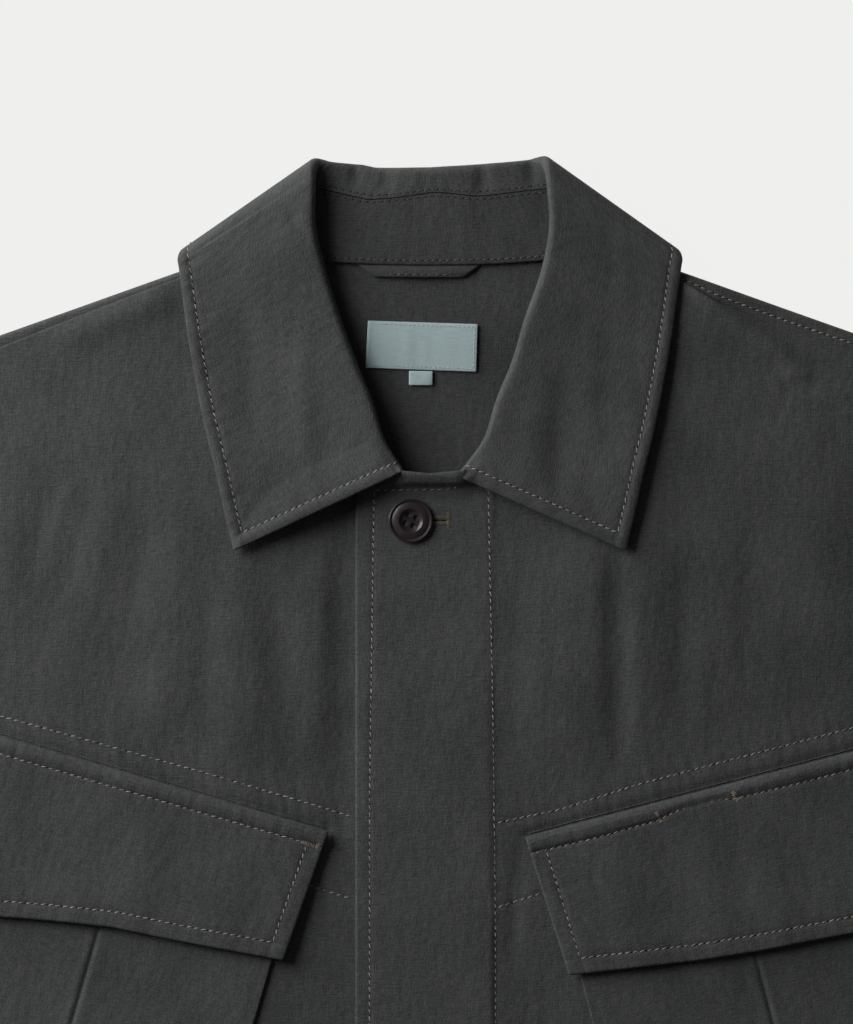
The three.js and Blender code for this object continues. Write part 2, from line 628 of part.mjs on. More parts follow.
// Both collar pieces are walls about one run of centre lines, parted at the seam between them.
const SEAM_COLUMN = 2;
function collarWalls() {
  const round = [...collarStations(-1).slice(0, -1), ...collarStations(1).reverse()];
  const move = (by) =>
    round.map((line, r) =>
      line.map((point, c) => {
        const across = line[Math.min(line.length - 1, c + 1)].clone().sub(line[Math.max(0, c - 1)]);
        const along = round[Math.min(round.length - 1, r + 1)][c].clone().sub(round[Math.max(0, r - 1)][c]);
        return point.clone().addScaledVector(across.cross(along).normalize(), by).toArray();
      }),
    );
  const low = move(-COLLAR / 2);
  const high = move(COLLAR / 2);
  return {
    stand: wallGeometry(low, high, (r, c) => c < SEAM_COLUMN),
    fall: wallGeometry(low, high, (r, c) => c > SEAM_COLUMN),
  };
}

// Chest pockets and flaps slant down to the centre.
// along runs outward from the centre end, and down runs from the flap's fold.
const POCKET = {
  cornerX: 46, cornerY: -259, slope: 15.6, width: 176, welt: 7.2,
  bagInset: 9, bagWidth: 158, bagTop: 12, bagDepth: 168, bagCorner: 14, pleat: 1.6,
};
const FLAP_DEPTHS = [
  { along: 2, depth: 62 },
  { along: 70, depth: 67 },
  { along: 120, depth: 75 },
  { along: POCKET.width - 2, depth: 80 },
];

function pocketPoint(side, along, down) {
  const slope = THREE.MathUtils.degToRad(POCKET.slope);
  return {
    x: side * (POCKET.cornerX + along * Math.cos(slope) + down * Math.sin(slope)),
    y: POCKET.cornerY + along * Math.sin(slope) - down * Math.cos(slope),
  };
}
// Outlines run round from the centre end; the wearer's right is turned round so that both run the same way.
function outlineOf(side, points) {
  const outline = points.map(([along, down]) => pocketPoint(side, along, down));
  return side > 0 ? outline : outline.reverse();
}

function pocketBag(grid, side) {
  const start = POCKET.bagInset;
  const end = start + POCKET.bagWidth;
  const { bagTop, bagDepth, bagCorner, pleat } = POCKET;
  const outline = [
    [start, bagTop], [end, bagTop], [end, bagDepth - bagCorner],
    [end - bagCorner, bagDepth], [start + bagCorner, bagDepth], [start, bagDepth - bagCorner],
  ];
  const middle = (start + end) / 2;
  const groove = [
    [middle - pleat / 2, bagTop - 1], [middle + pleat / 2, bagTop - 1],
    [middle + pleat / 2, bagDepth + 1], [middle - pleat / 2, bagDepth + 1],
  ];
  const bag = layOn(grid, outlineOf(side, outline.reverse()), SEAM_GAP, SEAM_GAP + CLOTH);
  const cut = outlineOf(side, groove.reverse());
  return bag.subtract(layOn(grid, cut, SEAM_GAP + CLOTH / 2, SEAM_GAP + 2 * CLOTH));
}

function pocketFlap(grid, side) {
  const bottom = FLAP_DEPTHS.map((row) => [row.along, row.depth]);
  const from = SEAM_GAP + CLOTH + SEAM_GAP;
  const flap = layOn(grid, outlineOf(side, [...bottom, [POCKET.width, 0], [0, 0]]), from, from + FLAP);
  const welt = [[0, POCKET.welt], [POCKET.width, POCKET.welt], [POCKET.width, 0], [0, 0]];
  return flap.add(layOn(grid, outlineOf(side, welt), SEAM_GAP, from + FLAP + 0.4));
}

// The neck button, turned on a lathe with a raised rim and a dish, and drilled with four holes.
const BUTTON = {
  x: -8.6, y: -117.7, radius: 10.5, thickness: 3, rim: 1.5, dish: 1.0,
  holes: 4, holeAngle: 38, holeRadius: 1.1, holeCircle: 2.4,
};
const BUTTON_SIDES = 32;
const HOLE_SIDES = 8;

function buttonSolid(restZ) {
  const { radius, thickness, rim, dish, holeRadius, holeCircle } = BUTTON;
  const profile = [
    [0, 0], [radius * 0.72, 0], [radius, thickness * 0.45], [radius, thickness * 0.8],
    [radius - rim * 0.4, thickness],
    [radius - rim, thickness * 0.85], [radius - rim * 1.3, thickness - dish * 0.55],
    [radius * 0.55, thickness - dish * 0.6],
    [radius * 0.42, thickness - dish * 1.3], [0, thickness - dish * 1.4],
  ].map(([r, z]) => new THREE.Vector2(r, z));
  const lathe = new THREE.LatheGeometry(profile, BUTTON_SIDES);
  lathe.rotateX(Math.PI / 2);
  let button = solidFrom(lathe);
  for (let i = 0; i < BUTTON.holes; i += 1) {
    const angle = THREE.MathUtils.degToRad(BUTTON.holeAngle + (360 / BUTTON.holes) * i);
    const hole = new THREE.CylinderGeometry(holeRadius, holeRadius, thickness * 3, HOLE_SIDES);
    hole.rotateX(Math.PI / 2);
    hole.translate(Math.cos(angle) * holeCircle, Math.sin(angle) * holeCircle, 0);
    button = button.subtract(solidFrom(hole));
  }
  return button.translate([BUTTON.x, BUTTON.y, restZ]);
}

// Sewn inside the back neck: a hanging loop, a blank woven label and a blank size tab under it.
const LOOP = [
  { x: -26, y: -6 }, { x: 16.5, y: -6 }, { x: 22.4, y: -1.2 }, { x: -32, y: -1.2 },
];
const LABEL = [
  { x: -30, y: -48.8 }, { x: 20.5, y: -50.4 }, { x: 21.4, y: -27.2 }, { x: -28.8, y: -26.4 },
];
const TAB = [
  { x: -9.3, y: -56.2 }, { x: 1.7, y: -56.4 }, { x: 2.1, y: -50.3 }, { x: -9, y: -50 },
];
const TRIM = 1.0;

const COLOURS = {
  cloth: { color: 0x3b3d3c, roughness: 0.9, metalness: 0 },
  label: { color: 0x93a9ac, roughness: 0.6, metalness: 0 },
  button: { color: 0x241f21, roughness: 0.35, metalness: 0 },
};

const jacket = new THREE.Group();
function addPiece(name, geometry, finish) {
  const mesh = new THREE.Mesh(geometry, new THREE.MeshStandardMaterial(COLOURS[finish]));
  mesh.name = name;
  mesh.position.y = CENTRE_Y;
  jacket.add(mesh);
}

const back = backGrid();
const overFront = frontGrid(true);
const underFront = frontGrid(false);
const collar = collarWalls();
const buttonRest = frontTop(BUTTON.x, BUTTON.y, true) + SEAM_GAP;

addPiece("back", geometryFrom(solidFrom(back.geometry)), "cloth");
addPiece("front_left", wallGeometry(overFront.low, overFront.top), "cloth");
addPiece("front_right", wallGeometry(underFront.low, underFront.top), "cloth");
addPiece("sleeve_left", sleeveGeometry(1), "cloth");
addPiece("sleeve_right", sleeveGeometry(-1), "cloth");
addPiece("collar_stand", collar.stand, "cloth");
addPiece("collar_fall", collar.fall, "cloth");
addPiece("pocket_left", geometryFrom(pocketBag(overFront, 1)), "cloth");
addPiece("pocket_right", geometryFrom(pocketBag(underFront, -1)), "cloth");
addPiece("flap_left", geometryFrom(pocketFlap(overFront, 1)), "cloth");
addPiece("flap_right", geometryFrom(pocketFlap(underFront, -1)), "cloth");
addPiece("neck_button", geometryFrom(buttonSolid(buttonRest)), "button");
addPiece("hanging_loop", geometryFrom(layOn(back.plate, LOOP, SEAM_GAP, SEAM_GAP + TRIM)), "cloth");
addPiece("neck_label", geometryFrom(layOn(back.plate, LABEL, SEAM_GAP, SEAM_GAP + TRIM)), "label");
addPiece("size_tab", geometryFrom(layOn(back.plate, TAB, SEAM_GAP, SEAM_GAP + TRIM)), "label");

export default jacket;
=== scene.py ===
# %% [markdown]
# # A fatigue jacket, laid flat
#
# The jacket lies on its back with the neck buttoned, and the camera looks straight down on its chest.
# Nearly every piece is a sheet of cloth that lies on another one, so the work is in three things: how high
# each sheet lies, how its edge is turned, and how its thread, weave and small creases catch the light.
#
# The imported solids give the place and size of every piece. They are loaded first and never changed.

# %% Load the frame
import math

import bmesh
import bpy
import numpy as np
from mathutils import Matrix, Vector


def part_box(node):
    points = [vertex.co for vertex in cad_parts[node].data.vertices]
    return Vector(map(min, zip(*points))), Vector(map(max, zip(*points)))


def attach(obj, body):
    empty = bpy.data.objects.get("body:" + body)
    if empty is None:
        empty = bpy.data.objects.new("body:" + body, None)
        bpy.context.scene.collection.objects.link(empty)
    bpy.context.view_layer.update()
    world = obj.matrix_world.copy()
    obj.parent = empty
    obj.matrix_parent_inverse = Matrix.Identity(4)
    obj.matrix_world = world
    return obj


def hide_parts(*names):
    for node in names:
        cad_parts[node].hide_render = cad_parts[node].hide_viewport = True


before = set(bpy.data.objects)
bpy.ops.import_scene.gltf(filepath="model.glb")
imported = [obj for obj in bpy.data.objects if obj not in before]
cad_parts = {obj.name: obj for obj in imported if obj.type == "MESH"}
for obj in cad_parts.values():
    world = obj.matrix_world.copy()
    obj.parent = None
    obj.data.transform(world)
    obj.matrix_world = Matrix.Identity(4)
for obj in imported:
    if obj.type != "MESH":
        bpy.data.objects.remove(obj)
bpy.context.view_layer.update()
print("pieces in the frame:", sorted(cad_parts))

# %% [markdown]
# ## The jacket's own sizes
#
# A pattern cutter measures from the middle of the back neck seam, so the sizes here do too, in millimetres.
# The frame's origin is under the middle of the whole jacket. The hem of the back panel ties the two
# together.

# %% Sizes of the body
MM = 0.001
BODY_LENGTH = 727.0
HALF_HEM = 292.0
NECK_POINT = (89.0, 4.7)
SHOULDER_TIP = (235.0, -47.0)
UNDERARM = (288.0, -287.0)
HEM_ROW = -713
OVER_EDGE = -33.0
UNDER_EDGE = 29.0
OVER_NECK = -99.3
UNDER_NECK = -95.5
NECK_CUT = -97.5
CLOTH = 1.2
COLLAR = 1.6
FLAP = 1.8
SEAM_GAP = 0.3
AIR = 1.6
PLACKET_EXTRA = 0.7
NECK_SEAM_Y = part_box("back")[0].y / MM + BODY_LENGTH
print("neck seam lies at y =", round(NECK_SEAM_Y, 2), "mm")

# %% [markdown]
# ## Small tools for curves and heights
#
# Cloth that lies flat is easiest to describe as a height over the table. These helpers read a table, smooth
# a step, run a curve through points and give the height of a set of soft folds.

# %% Curves, tables and steps
def smooth(start, end, value):
    t = np.clip((np.asarray(value, float) - start) / (end - start), 0, 1)
    return t * t * (3 - 2 * t)


def bell(distance, width):
    """One at no distance, and next to nothing at twice the width."""
    return np.exp(-((distance / width) ** 2))


def mix(a, b, t):
    return a + (b - a) * t


def lengths_along(points):
    """How far along a path each of its points is."""
    return np.concatenate([[0], np.cumsum(np.linalg.norm(np.diff(points, axis=0), axis=1))])


def at_lengths(points, lengths, wanted):
    return np.stack([np.interp(wanted, lengths, points[:, k]) for k in range(points.shape[1])], axis=-1)


def even_points(points, step):
    """Points about every step mm along a path, with both of its ends."""
    points = np.array(points, float)
    lengths = lengths_along(points)
    return at_lengths(points, lengths, np.linspace(0, lengths[-1], int(lengths[-1] / step) + 2))


def spline(p0, p1, p2, p3, t):
    """The place at t between p1 and p2 on a smooth curve through all four."""
    bend = 2 * p0 - 5 * p1 + 4 * p2 - p3
    twist = 3 * p1 - p0 - 3 * p2 + p3
    return 0.5 * (2 * p1 + (p2 - p0) * t + bend * t**2 + twist * t**3)


def through(points, shares):
    """Even shares of the length of a smooth curve through the points."""
    points = np.asarray(points, float)
    padded = np.vstack([points[:1], points, points[-1:]])
    fine = []
    for i in range(len(points) - 1):
        fine.append(spline(*padded[i : i + 4], np.linspace(0, 1, 40, endpoint=False)[:, None]))
    fine = np.vstack(fine + [points[-1:]])
    lengths = lengths_along(fine)
    return at_lengths(fine, lengths, np.asarray(shares, float) * lengths[-1])


def between_rows(table, rows):
    """Values between the rows of a table, on a smooth curve through them. rows may be fractions."""
    table = np.asarray(table, float)
    last = len(table) - 1
    i = np.clip(np.floor(rows).astype(int), 0, last - 1)
    t = (np.asarray(rows) - i).reshape((-1,) + (1,) * (table.ndim - 1))
    return spline(table[np.maximum(i - 1, 0)], table[i], table[i + 1], table[np.minimum(i + 2, last)], t)


def steps(start, end, step, fine=(), fine_step=0.7, reach=3.0):
    """Positions from start to end, closer together within reach of each place in fine and at both ends."""
    places = [start, end, *fine]
    found = [start]
    while found[-1] < end:
        near = min(abs(found[-1] - p) for p in places)
        found.append(found[-1] + (fine_step if near < reach else step))
    found = np.array(found)
    return start + (found - start) * (end - start) / (found[-1] - start)


# %% [markdown]
# ## Folds and creases
#
# The large folds are those of the solids, lower on the chest, where two broad swells join them. A worn
# cotton and nylon cloth also has many shallow, short creases that run with its length. Each row of a table
# is one ridge, or a trough when its height is negative, between two points. A slow, seeded ripple keeps the
# rest from looking ironed.

# %% Folds of the two fronts
FRONT_FOLDS = [
    # x0, y0, x1, y1, width, height
    (-50, -118, -51, -228, 9, 0.8),
    (-86, -122, -90, -240, 10, 0.8),
    (-112, -105, -122, -222, 12, 0.6),
    (-146, -78, -172, -205, 14, 0.8),
    (-182, -62, -200, -190, 14, 0.8),
    (62, -118, 60, -240, 14, 1.1),
    (104, -105, 100, -232, 12, 0.7),
    (136, -84, 130, -226, 14, 0.5),
    (172, -62, 178, -205, 16, 0.8),
    (76, -40, 70, -230, 46, 2.2),
    (-88, -60, -96, -240, 44, 1.3),
    (-264, -275, -196, -262, 13, 2.4),
    (264, -275, 200, -258, 13, 2.4),
    (-248, -420, -226, -640, 17, 2.4),
    (-150, -430, -142, -690, 20, 2.2),
    (-86, -400, -78, -620, 15, 1.8),
    (82, -390, 90, -650, 16, 2.0),
    (160, -440, 150, -700, 20, 2.3),
    (240, -410, 232, -620, 16, 2.2),
]
FRONT_CREASES = [
    # the wearer's right chest, from the placket outward
    (-40, -100, -39, -280, 7.0, -1.1),
    (-47, -120, -49, -190, 4.5, 0.3),
    (-78, -118, -64, -200, 8.0, -1.0),
    (-69, -140, -65, -240, 4.5, -0.5),
    (-78, -150, -80, -225, 4.0, 0.25),
    (-100, -140, -104, -215, 4.5, -0.35),
    (-128, -112, -139, -176, 4.5, -0.35),
    (-140, -98, -156, -164, 4.0, 0.3),
    (-151, -92, -168, -158, 4.0, -0.35),
    (-161, -90, -178, -152, 4.0, 0.3),
    (-172, -96, -190, -166, 4.5, -0.3),
    (-120, -170, -126, -226, 4.5, 0.25),
    (-110, -11, -176, -38, 8.0, 1.7),
    (-60, -190, -61, -246, 3.5, -0.25),
    # the wearer's left chest
    (39, -128, 38, -232, 4.0, -0.3),
    (42, -258, 36, -326, 4.0, -0.9),
    (50, -140, 49, -215, 4.0, 0.25),
    (76, -124, 75, -214, 5.0, 0.3),
    (85, -120, 86, -240, 5.0, -1.1),
    (95, -150, 94, -226, 4.0, 0.25),
    (116, -128, 112, -216, 5.0, -0.35),
    (126, -160, 122, -222, 4.0, 0.25),
    (146, -118, 143, -196, 5.0, -0.3),
    (160, -130, 159, -200, 4.5, 0.25),
    (112, -6, 176, -52, 5.0, 1.5),
    (112, -8, 146, -30, 2.4, 0.6),
    (136, -24, 166, -43, 2.2, 0.7),
    (150, -40, 186, -58, 6.0, -0.5),
    (160, -51, 175, -52, 2.4, 0.6),
    (158, -57, 178, -57, 4.0, -0.5),
    # below the pockets
    (-226, -330, -190, -400, 7, 0.8),
    (226, -330, 188, -408, 7, 0.8),
    (-204, -520, -196, -640, 8, -0.8),
    (-112, -470, -118, -600, 7, -0.7),
    (-50, -430, -54, -560, 6, 0.6),
    (52, -520, 48, -650, 6, 0.6),
    (120, -500, 126, -640, 8, -0.8),
    (205, -540, 200, -660, 8, 0.7),
]


def fold_height(folds, x, y):
    height = np.zeros(np.broadcast(x, y).shape)
    for x0, y0, x1, y1, width, top in folds:
        dx, dy = x1 - x0, y1 - y0
        length = math.hypot(dx, dy)
        along = ((x - x0) * dx + (y - y0) * dy) / length**2
        aside = ((x - x0) * dy - (y - y0) * dx) / length
        fade = smooth(0, 0.25, along) * (1 - smooth(0.75, 1, along))
        height += top * fade * bell(aside, width)
    return height


RIPPLES = np.random.default_rng(7)
RIPPLE_WAVES = [
    # across, along, phase, share: slow waves, a few times longer down the cloth than across it
    (RIPPLES.normal(0, 1), RIPPLES.normal(0, 0.42), RIPPLES.uniform(0, 2 * math.pi), RIPPLES.uniform(0.5, 1))
    for _ in range(16)
]


def ripple(x, y, size, height):
    """Slow uneven waves about size mm across."""
    total = np.zeros(np.broadcast(x, y).shape)
    for across, along, phase, share in RIPPLE_WAVES:
        total += share * np.sin((across * x + along * y) * 2 * math.pi / size + phase)
    return total * height / math.sqrt(len(RIPPLE_WAVES))


def soft_floor(height, lowest):
    """Limits troughs without a hard line: the height flattens out as it nears the lowest value."""
    return np.where(height > 0, height, lowest * (1 - np.exp(height / -lowest)))


print("folds:", len(FRONT_FOLDS), "and creases:", len(FRONT_CREASES))

# %% [markdown]
# Where a row of stitches crosses the cloth, the thread draws it in. It leaves a narrow groove, and small
# puckers that run with the grain and fade within a finger's width. The rows are listed once: the cloth
# reads them for its relief, and the thread is laid along them later.

# %% Stitch rows on the fronts
SEAM_ROWS = {
    # side of the jacket, pucker height, pucker reach, points from the centre outward or from the top down
    "left_upper": (
        1, 0.15, 10, [(30.5, -255), (59, -249), (95.5, -237.3), (131.8, -227.7), (192.3, -211.8), (222, -204)]
    ),
    "left_lower": (1, 0.15, 10, [(30.5, -293.5), (50, -287.3), (74, -280)]),
    "right_upper": (
        -1, 0.15, 10, [(-35.5, -252.3), (-59, -245), (-104.5, -231.6), (-195.5, -206.4), (-222, -199)]
    ),
    "right_lower": (-1, 0.15, 10, [(-36.4, -289.5), (-53.2, -284.1), (-76, -277)]),
    "placket_edge": (1, 0.05, 4, [(-25.4, -104), (-27.3, -240), (-27.7, -720)]),
    "placket_inner": (1, 0.05, 4, [(26.6, -103), (28.6, -200), (29.8, -300), (29.8, -720)]),
    "neck_edge": (1, 0.05, 4, [(-25.4, -103.6), (-12, -103.4), (8, -103.2), (12.5, -102), (17, -101)]),
    "left_hem": (1, 0.12, 9, [(31, HEM_ROW), (288, HEM_ROW)]),
    "right_hem": (-1, 0.12, 9, [(-36, HEM_ROW), (-288, HEM_ROW)]),
}
# Each groove is given by its depth and by how wide it is on either side.
THREAD_GROOVE = (0.22, 1.1)
FLAP_FOLDS = {-1: [(-46, -257.8), (-215, -208.7)], 1: [(43.2, -260.2), (213.5, -215.8)]}
FOLD_GROOVE = (0.75, 1.6)


def distance_to_row(points, x, y):
    nearest = np.full(np.broadcast(x, y).shape, 1e3)
    for (x0, y0), (x1, y1) in zip(points[:-1], points[1:]):
        dx, dy = x1 - x0, y1 - y0
        t = np.clip(((x - x0) * dx + (y - y0) * dy) / (dx * dx + dy * dy), 0, 1)
        nearest = np.minimum(nearest, np.hypot(x - x0 - t * dx, y - y0 - t * dy))
    return nearest


def pucker_wave(place):
    waves = np.sin(place * 2 * math.pi / 5.7) + 0.8 * np.sin(place * 2 * math.pi / 8.3 + 1)
    return (waves + 0.9 * np.sin(place * 2 * math.pi / 14.1 + 2)) / 2


def seam_relief(x, y):
    relief = np.zeros(np.broadcast(x, y).shape)
    for side, size, reach, points in SEAM_ROWS.values():
        near = distance_to_row(points, x, y)
        wave = pucker_wave(y if reach < 5 else x + 0.25 * y)
        depth, width = THREAD_GROOVE
        relief += size * wave * bell(near, reach) - depth * bell(near, width)
    return relief


def fold_groove(x, y):
    """Depth of the groove in which the fold of each flap is sewn to its front."""
    depth, width = FOLD_GROOVE
    return depth * sum(bell(distance_to_row(points, x, y), width) for points in FLAP_FOLDS.values())


print("seam rows:", len(SEAM_ROWS))

# %% [markdown]
# ## How high each layer lies
#
# The back panel rests on the table, lifted a little where the collar is folded under it. The fronts lie on
# the back over a thin cushion of air, and the wearer's left front lies over the right one at the centre.

# %% Heights of the panels
SIDE_SEAM = [(HALF_HEM, -BODY_LENGTH + 4), (286, -600), (283, -450), UNDERARM]
ARMHOLE = [UNDERARM, (257, -256), (236, -214), (226, -160), (226, -104), SHOULDER_TIP]
EDGE_BY_HEIGHT = np.array(SIDE_SEAM + ARMHOLE[1:])
SHOULDER_SLOPE = math.atan2(SHOULDER_TIP[1] - NECK_POINT[1], SHOULDER_TIP[0] - NECK_POINT[0])
SQUARE_IN = np.array([math.sin(SHOULDER_SLOPE), -math.cos(SHOULDER_SLOPE)])
FULL_GAP = 3.0
LIP_HALF_WIDTH = 13
LOWEST_TROUGH = -1.2
NECK_LIP_RISES = [
    # height gained, and where along the length it starts and ends: the band, the lip itself and its top
    (1.9, -108.5, -100.5),
    (3.4, -101.3, -99.6),
    (1.0, -100, -96.8),
]


def back_underside(x, y):
    return 2.4 * smooth(-62, -18, y) * (1 - smooth(120, 168, np.abs(x)))


def front_underside(x, y):
    aside = np.abs(x)
    from_edge = np.interp(y, EDGE_BY_HEIGHT[:, 1], EDGE_BY_HEIGHT[:, 0]) - aside
    edge_gap = mix(SEAM_GAP, AIR, smooth(UNDERARM[1] - 25, UNDERARM[1] + 25, y))
    from_shoulder = (aside - NECK_POINT[0]) * SQUARE_IN[0] + (y - NECK_POINT[1]) * SQUARE_IN[1]
    inside = smooth(0, 45, from_edge) * smooth(0, 70, from_shoulder)
    near_centre = 1 - smooth(35, 75, aside)
    near_hem = 1 - smooth(-BODY_LENGTH, -BODY_LENGTH + 60, y)
    full = mix(mix(edge_gap, FULL_GAP, inside), AIR, np.maximum(near_centre, near_hem * inside))
    edge_fade = smooth(0, 30, from_edge)
    large = fold_height(FRONT_FOLDS, x, y) * edge_fade
    small = fold_height(FRONT_CREASES, x, y) + ripple(x, y, 50, 0.16) * (1 - 0.6 * near_centre)
    small = (soft_floor(small, LOWEST_TROUGH) + seam_relief(x, y) + 0.4) * smooth(2, 25, from_edge)
    return back_underside(x, y) + CLOTH + full + large + small


def neck_rise(x, y, side):
    """At the middle the top front's neck edge turns up in a lip, and the under front's turns down."""
    middle = 1 - smooth(LIP_HALF_WIDTH, LIP_HALF_WIDTH + 11, np.abs(x))
    if side > 0:
        return sum(rise * smooth(start, end, y) for rise, start, end in NECK_LIP_RISES) * middle
    return -0.8 * smooth(-99.5, -96, y) * middle


def overlap_lift(x):
    return (CLOTH + SEAM_GAP + 0.2) * (1 - smooth(UNDER_EDGE + 1, UNDER_EDGE + 34, x))


def over_thickness(x):
    return CLOTH + PLACKET_EXTRA * (1 - smooth(UNDER_EDGE - 2, UNDER_EDGE + 2, x))


def front_top(x, y, side):
    """The top of the wearer's left front (side 1) or right front (side -1)."""
    under = front_underside(x, y)
    return under + neck_rise(x, y, side) + (overlap_lift(x) + over_thickness(x) if side > 0 else CLOTH)


# %% [markdown]
# ## From a grid of points to a sheet with a turned edge
#
# A sheet could be a plane with a Solidify modifier, but that leaves a square-cut rim. A garment's edges are
# turned and pressed, so the rim has to be round. Here a grid of points down the middle of the cloth gets
# three more rings of points outside it, and the thickness runs out to nothing over them on a quarter circle.

# %% Sheets and tubes
def unit(vectors):
    return vectors / np.maximum(np.linalg.norm(vectors, axis=-1, keepdims=True), 1e-9)


def in_frame(points):
    """From mm about the neck seam to metres in the shared frame."""
    return (np.asarray(points, float) + (0, NECK_SEAM_Y, 0)) * MM


def add_object(name, data):
    made = bpy.data.objects.new(name, data)
    bpy.context.scene.collection.objects.link(made)
    return made


def smooth_object(name, mesh):
    mesh.polygons.foreach_set("use_smooth", [True] * len(mesh.polygons))
    return add_object(name, mesh)


def grid_normals(grid, round_columns=False):
    if round_columns:
        across = np.roll(grid, -1, 1) - np.roll(grid, 1, 1)
    else:
        across = np.gradient(grid, axis=1)
    return unit(np.cross(across, np.gradient(grid, axis=0)))


RIM = [(0.5, 0.87), (0.87, 0.5), (1.0, 0.0)]


def with_rim(grid, half, axis):
    """Adds rings past both ends of an axis, and thins the cloth over them."""
    grid, half = np.swapaxes(grid, 0, axis), np.swapaxes(half, 0, axis)
    first, last = unit(grid[0] - grid[1]), unit(grid[-1] - grid[-2])
    before = [grid[0] + first * half[0][..., None] * out for out, _ in reversed(RIM)]
    after = [grid[-1] + last * half[-1][..., None] * out for out, _ in RIM]
    half_before = [half[0] * thin for _, thin in reversed(RIM)]
    half_after = [half[-1] * thin for _, thin in RIM]
    grid = np.concatenate([before, grid, after])
    half = np.concatenate([half_before, half, half_after])
    return np.swapaxes(grid, 0, axis), np.swapaxes(half, 0, axis)


def sheet_object(name, grid, thickness, uv, round_columns=False, flip=False):
    """A closed sheet of cloth about a grid of points in mm, measured from the neck seam."""
    half = np.broadcast_to(np.asarray(thickness, float) / 2, grid.shape[:2]).copy()
    normal = grid_normals(grid, round_columns) * (-1 if flip else 1)
    rims = len(RIM)
    pad = ((rims, rims), (0, 0) if round_columns else (rims, rims))
    normal = np.pad(normal, pad + ((0, 0),), mode="edge")
    uv = np.pad(uv, pad + ((0, 0),), mode="edge")
    grid, half = with_rim(grid, half, 0)
    if not round_columns:
        grid, half = with_rim(grid, half, 1)
    rows, columns = half.shape
    index = np.arange(rows * columns).reshape(rows, columns)
    shared = half < 1e-9
    under = np.where(shared, index, index + rows * columns)
    top, bottom = grid + normal * half[..., None], grid - normal * half[..., None]
    points = in_frame(np.concatenate([top.reshape(-1, 3), bottom.reshape(-1, 3)]))

    def quads(layer):
        wrapped = np.concatenate([layer, layer[:, :1]], 1) if round_columns else layer
        a, b = wrapped[:-1, :-1], wrapped[:-1, 1:]
        c, d = wrapped[1:, 1:], wrapped[1:, :-1]
        return np.stack([a, b, c, d], -1).reshape(-1, 4)

    upper, lower = quads(index), quads(under)[:, ::-1]
    if flip:
        upper, lower = upper[:, ::-1], lower[:, ::-1]
    faces = np.concatenate([upper, lower])
    mesh = bpy.data.meshes.new(name)
    mesh.from_pydata(points.tolist(), [], faces.tolist())
    layer = mesh.uv_layers.new(name="grain")
    flat_uv = np.concatenate([uv.reshape(-1, 2)] * 2) * MM
    layer.data.foreach_set("uv", flat_uv[faces.reshape(-1)].astype(np.float32).reshape(-1))
    work = bmesh.new()
    work.from_mesh(mesh)
    loose = [v for v in work.verts if not v.link_faces]
    bmesh.ops.delete(work, geom=loose, context="VERTS")
    bmesh.ops.recalc_face_normals(work, faces=work.faces)
    work.to_mesh(mesh)
    work.free()
    print(name, len(mesh.polygons) * 2, "triangles")
    return smooth_object(name, mesh)


# %% [markdown]
# ## Materials
#
# The shell is a dark, slubby plain weave with a dry hand. Its colour barely varies, so what shows is the
# weave: thin threads in both directions, some thicker than others, and a fine crinkle. They are noise
# stretched along the grain, read from each piece's own grain map so that the weave turns with the cloth.

# %% Material helpers
def new_material(name):
    material = bpy.data.materials.new(name)
    material.use_nodes = True
    shader = material.node_tree.nodes["Principled BSDF"]
    return material, material.node_tree, shader


def add_node(tree, kind, **values):
    node = tree.nodes.new(kind)
    for key, value in values.items():
        setattr(node, key, value)
    return node


def set_inputs(node, **values):
    """Sets a node's inputs by name, with _ where the name has a space."""
    for name, value in values.items():
        node.inputs[name.replace("_", " ")].default_value = value


def grain_noise(tree, across, along, detail):
    """Noise on the grain map, in waves per mm across and along the cloth."""
    uv = add_node(tree, "ShaderNodeUVMap", uv_map="grain")
    mapping = add_node(tree, "ShaderNodeMapping")
    set_inputs(mapping, Scale=(across / MM, along / MM, 1))
    noise = add_node(tree, "ShaderNodeTexNoise", noise_dimensions="2D")
    set_inputs(noise, Scale=1.0, Detail=detail)
    tree.links.new(uv.outputs["UV"], mapping.inputs["Vector"])
    tree.links.new(mapping.outputs["Vector"], noise.inputs["Vector"])
    return noise.outputs["Fac"]


def sum_of(tree, parts):
    """A weighted sum of values: parts is a list of (output, weight)."""
    total = None
    for output, weight in parts:
        scaled = add_node(tree, "ShaderNodeMath", operation="MULTIPLY_ADD")
        scaled.inputs[1].default_value = weight
        scaled.inputs[2].default_value = -weight / 2
        tree.links.new(output, scaled.inputs[0])
        if total is not None:
            added = add_node(tree, "ShaderNodeMath", operation="ADD")
            tree.links.new(total, added.inputs[0])
            tree.links.new(scaled.outputs[0], added.inputs[1])
            total = added.outputs[0]
        else:
            total = scaled.outputs[0]
    return total


def shade_between(tree, value, dark, light):
    """Colour from dark to light as value runs from -0.5 to 0.5."""
    ramp = add_node(tree, "ShaderNodeMapRange")
    set_inputs(ramp, From_Min=-0.5, From_Max=0.5)
    blend = add_node(tree, "ShaderNodeMix", data_type="RGBA")
    set_inputs(blend, A=(*dark, 1), B=(*light, 1))
    tree.links.new(value, ramp.inputs["Value"])
    tree.links.new(ramp.outputs["Result"], blend.inputs["Factor"])
    return blend.outputs["Result"]


def bump_from(tree, value, height, shader):
    bump = add_node(tree, "ShaderNodeBump")
    set_inputs(bump, Strength=1.0, Distance=height * MM)
    tree.links.new(value, bump.inputs["Height"])
    tree.links.new(bump.outputs["Normal"], shader.inputs["Normal"])


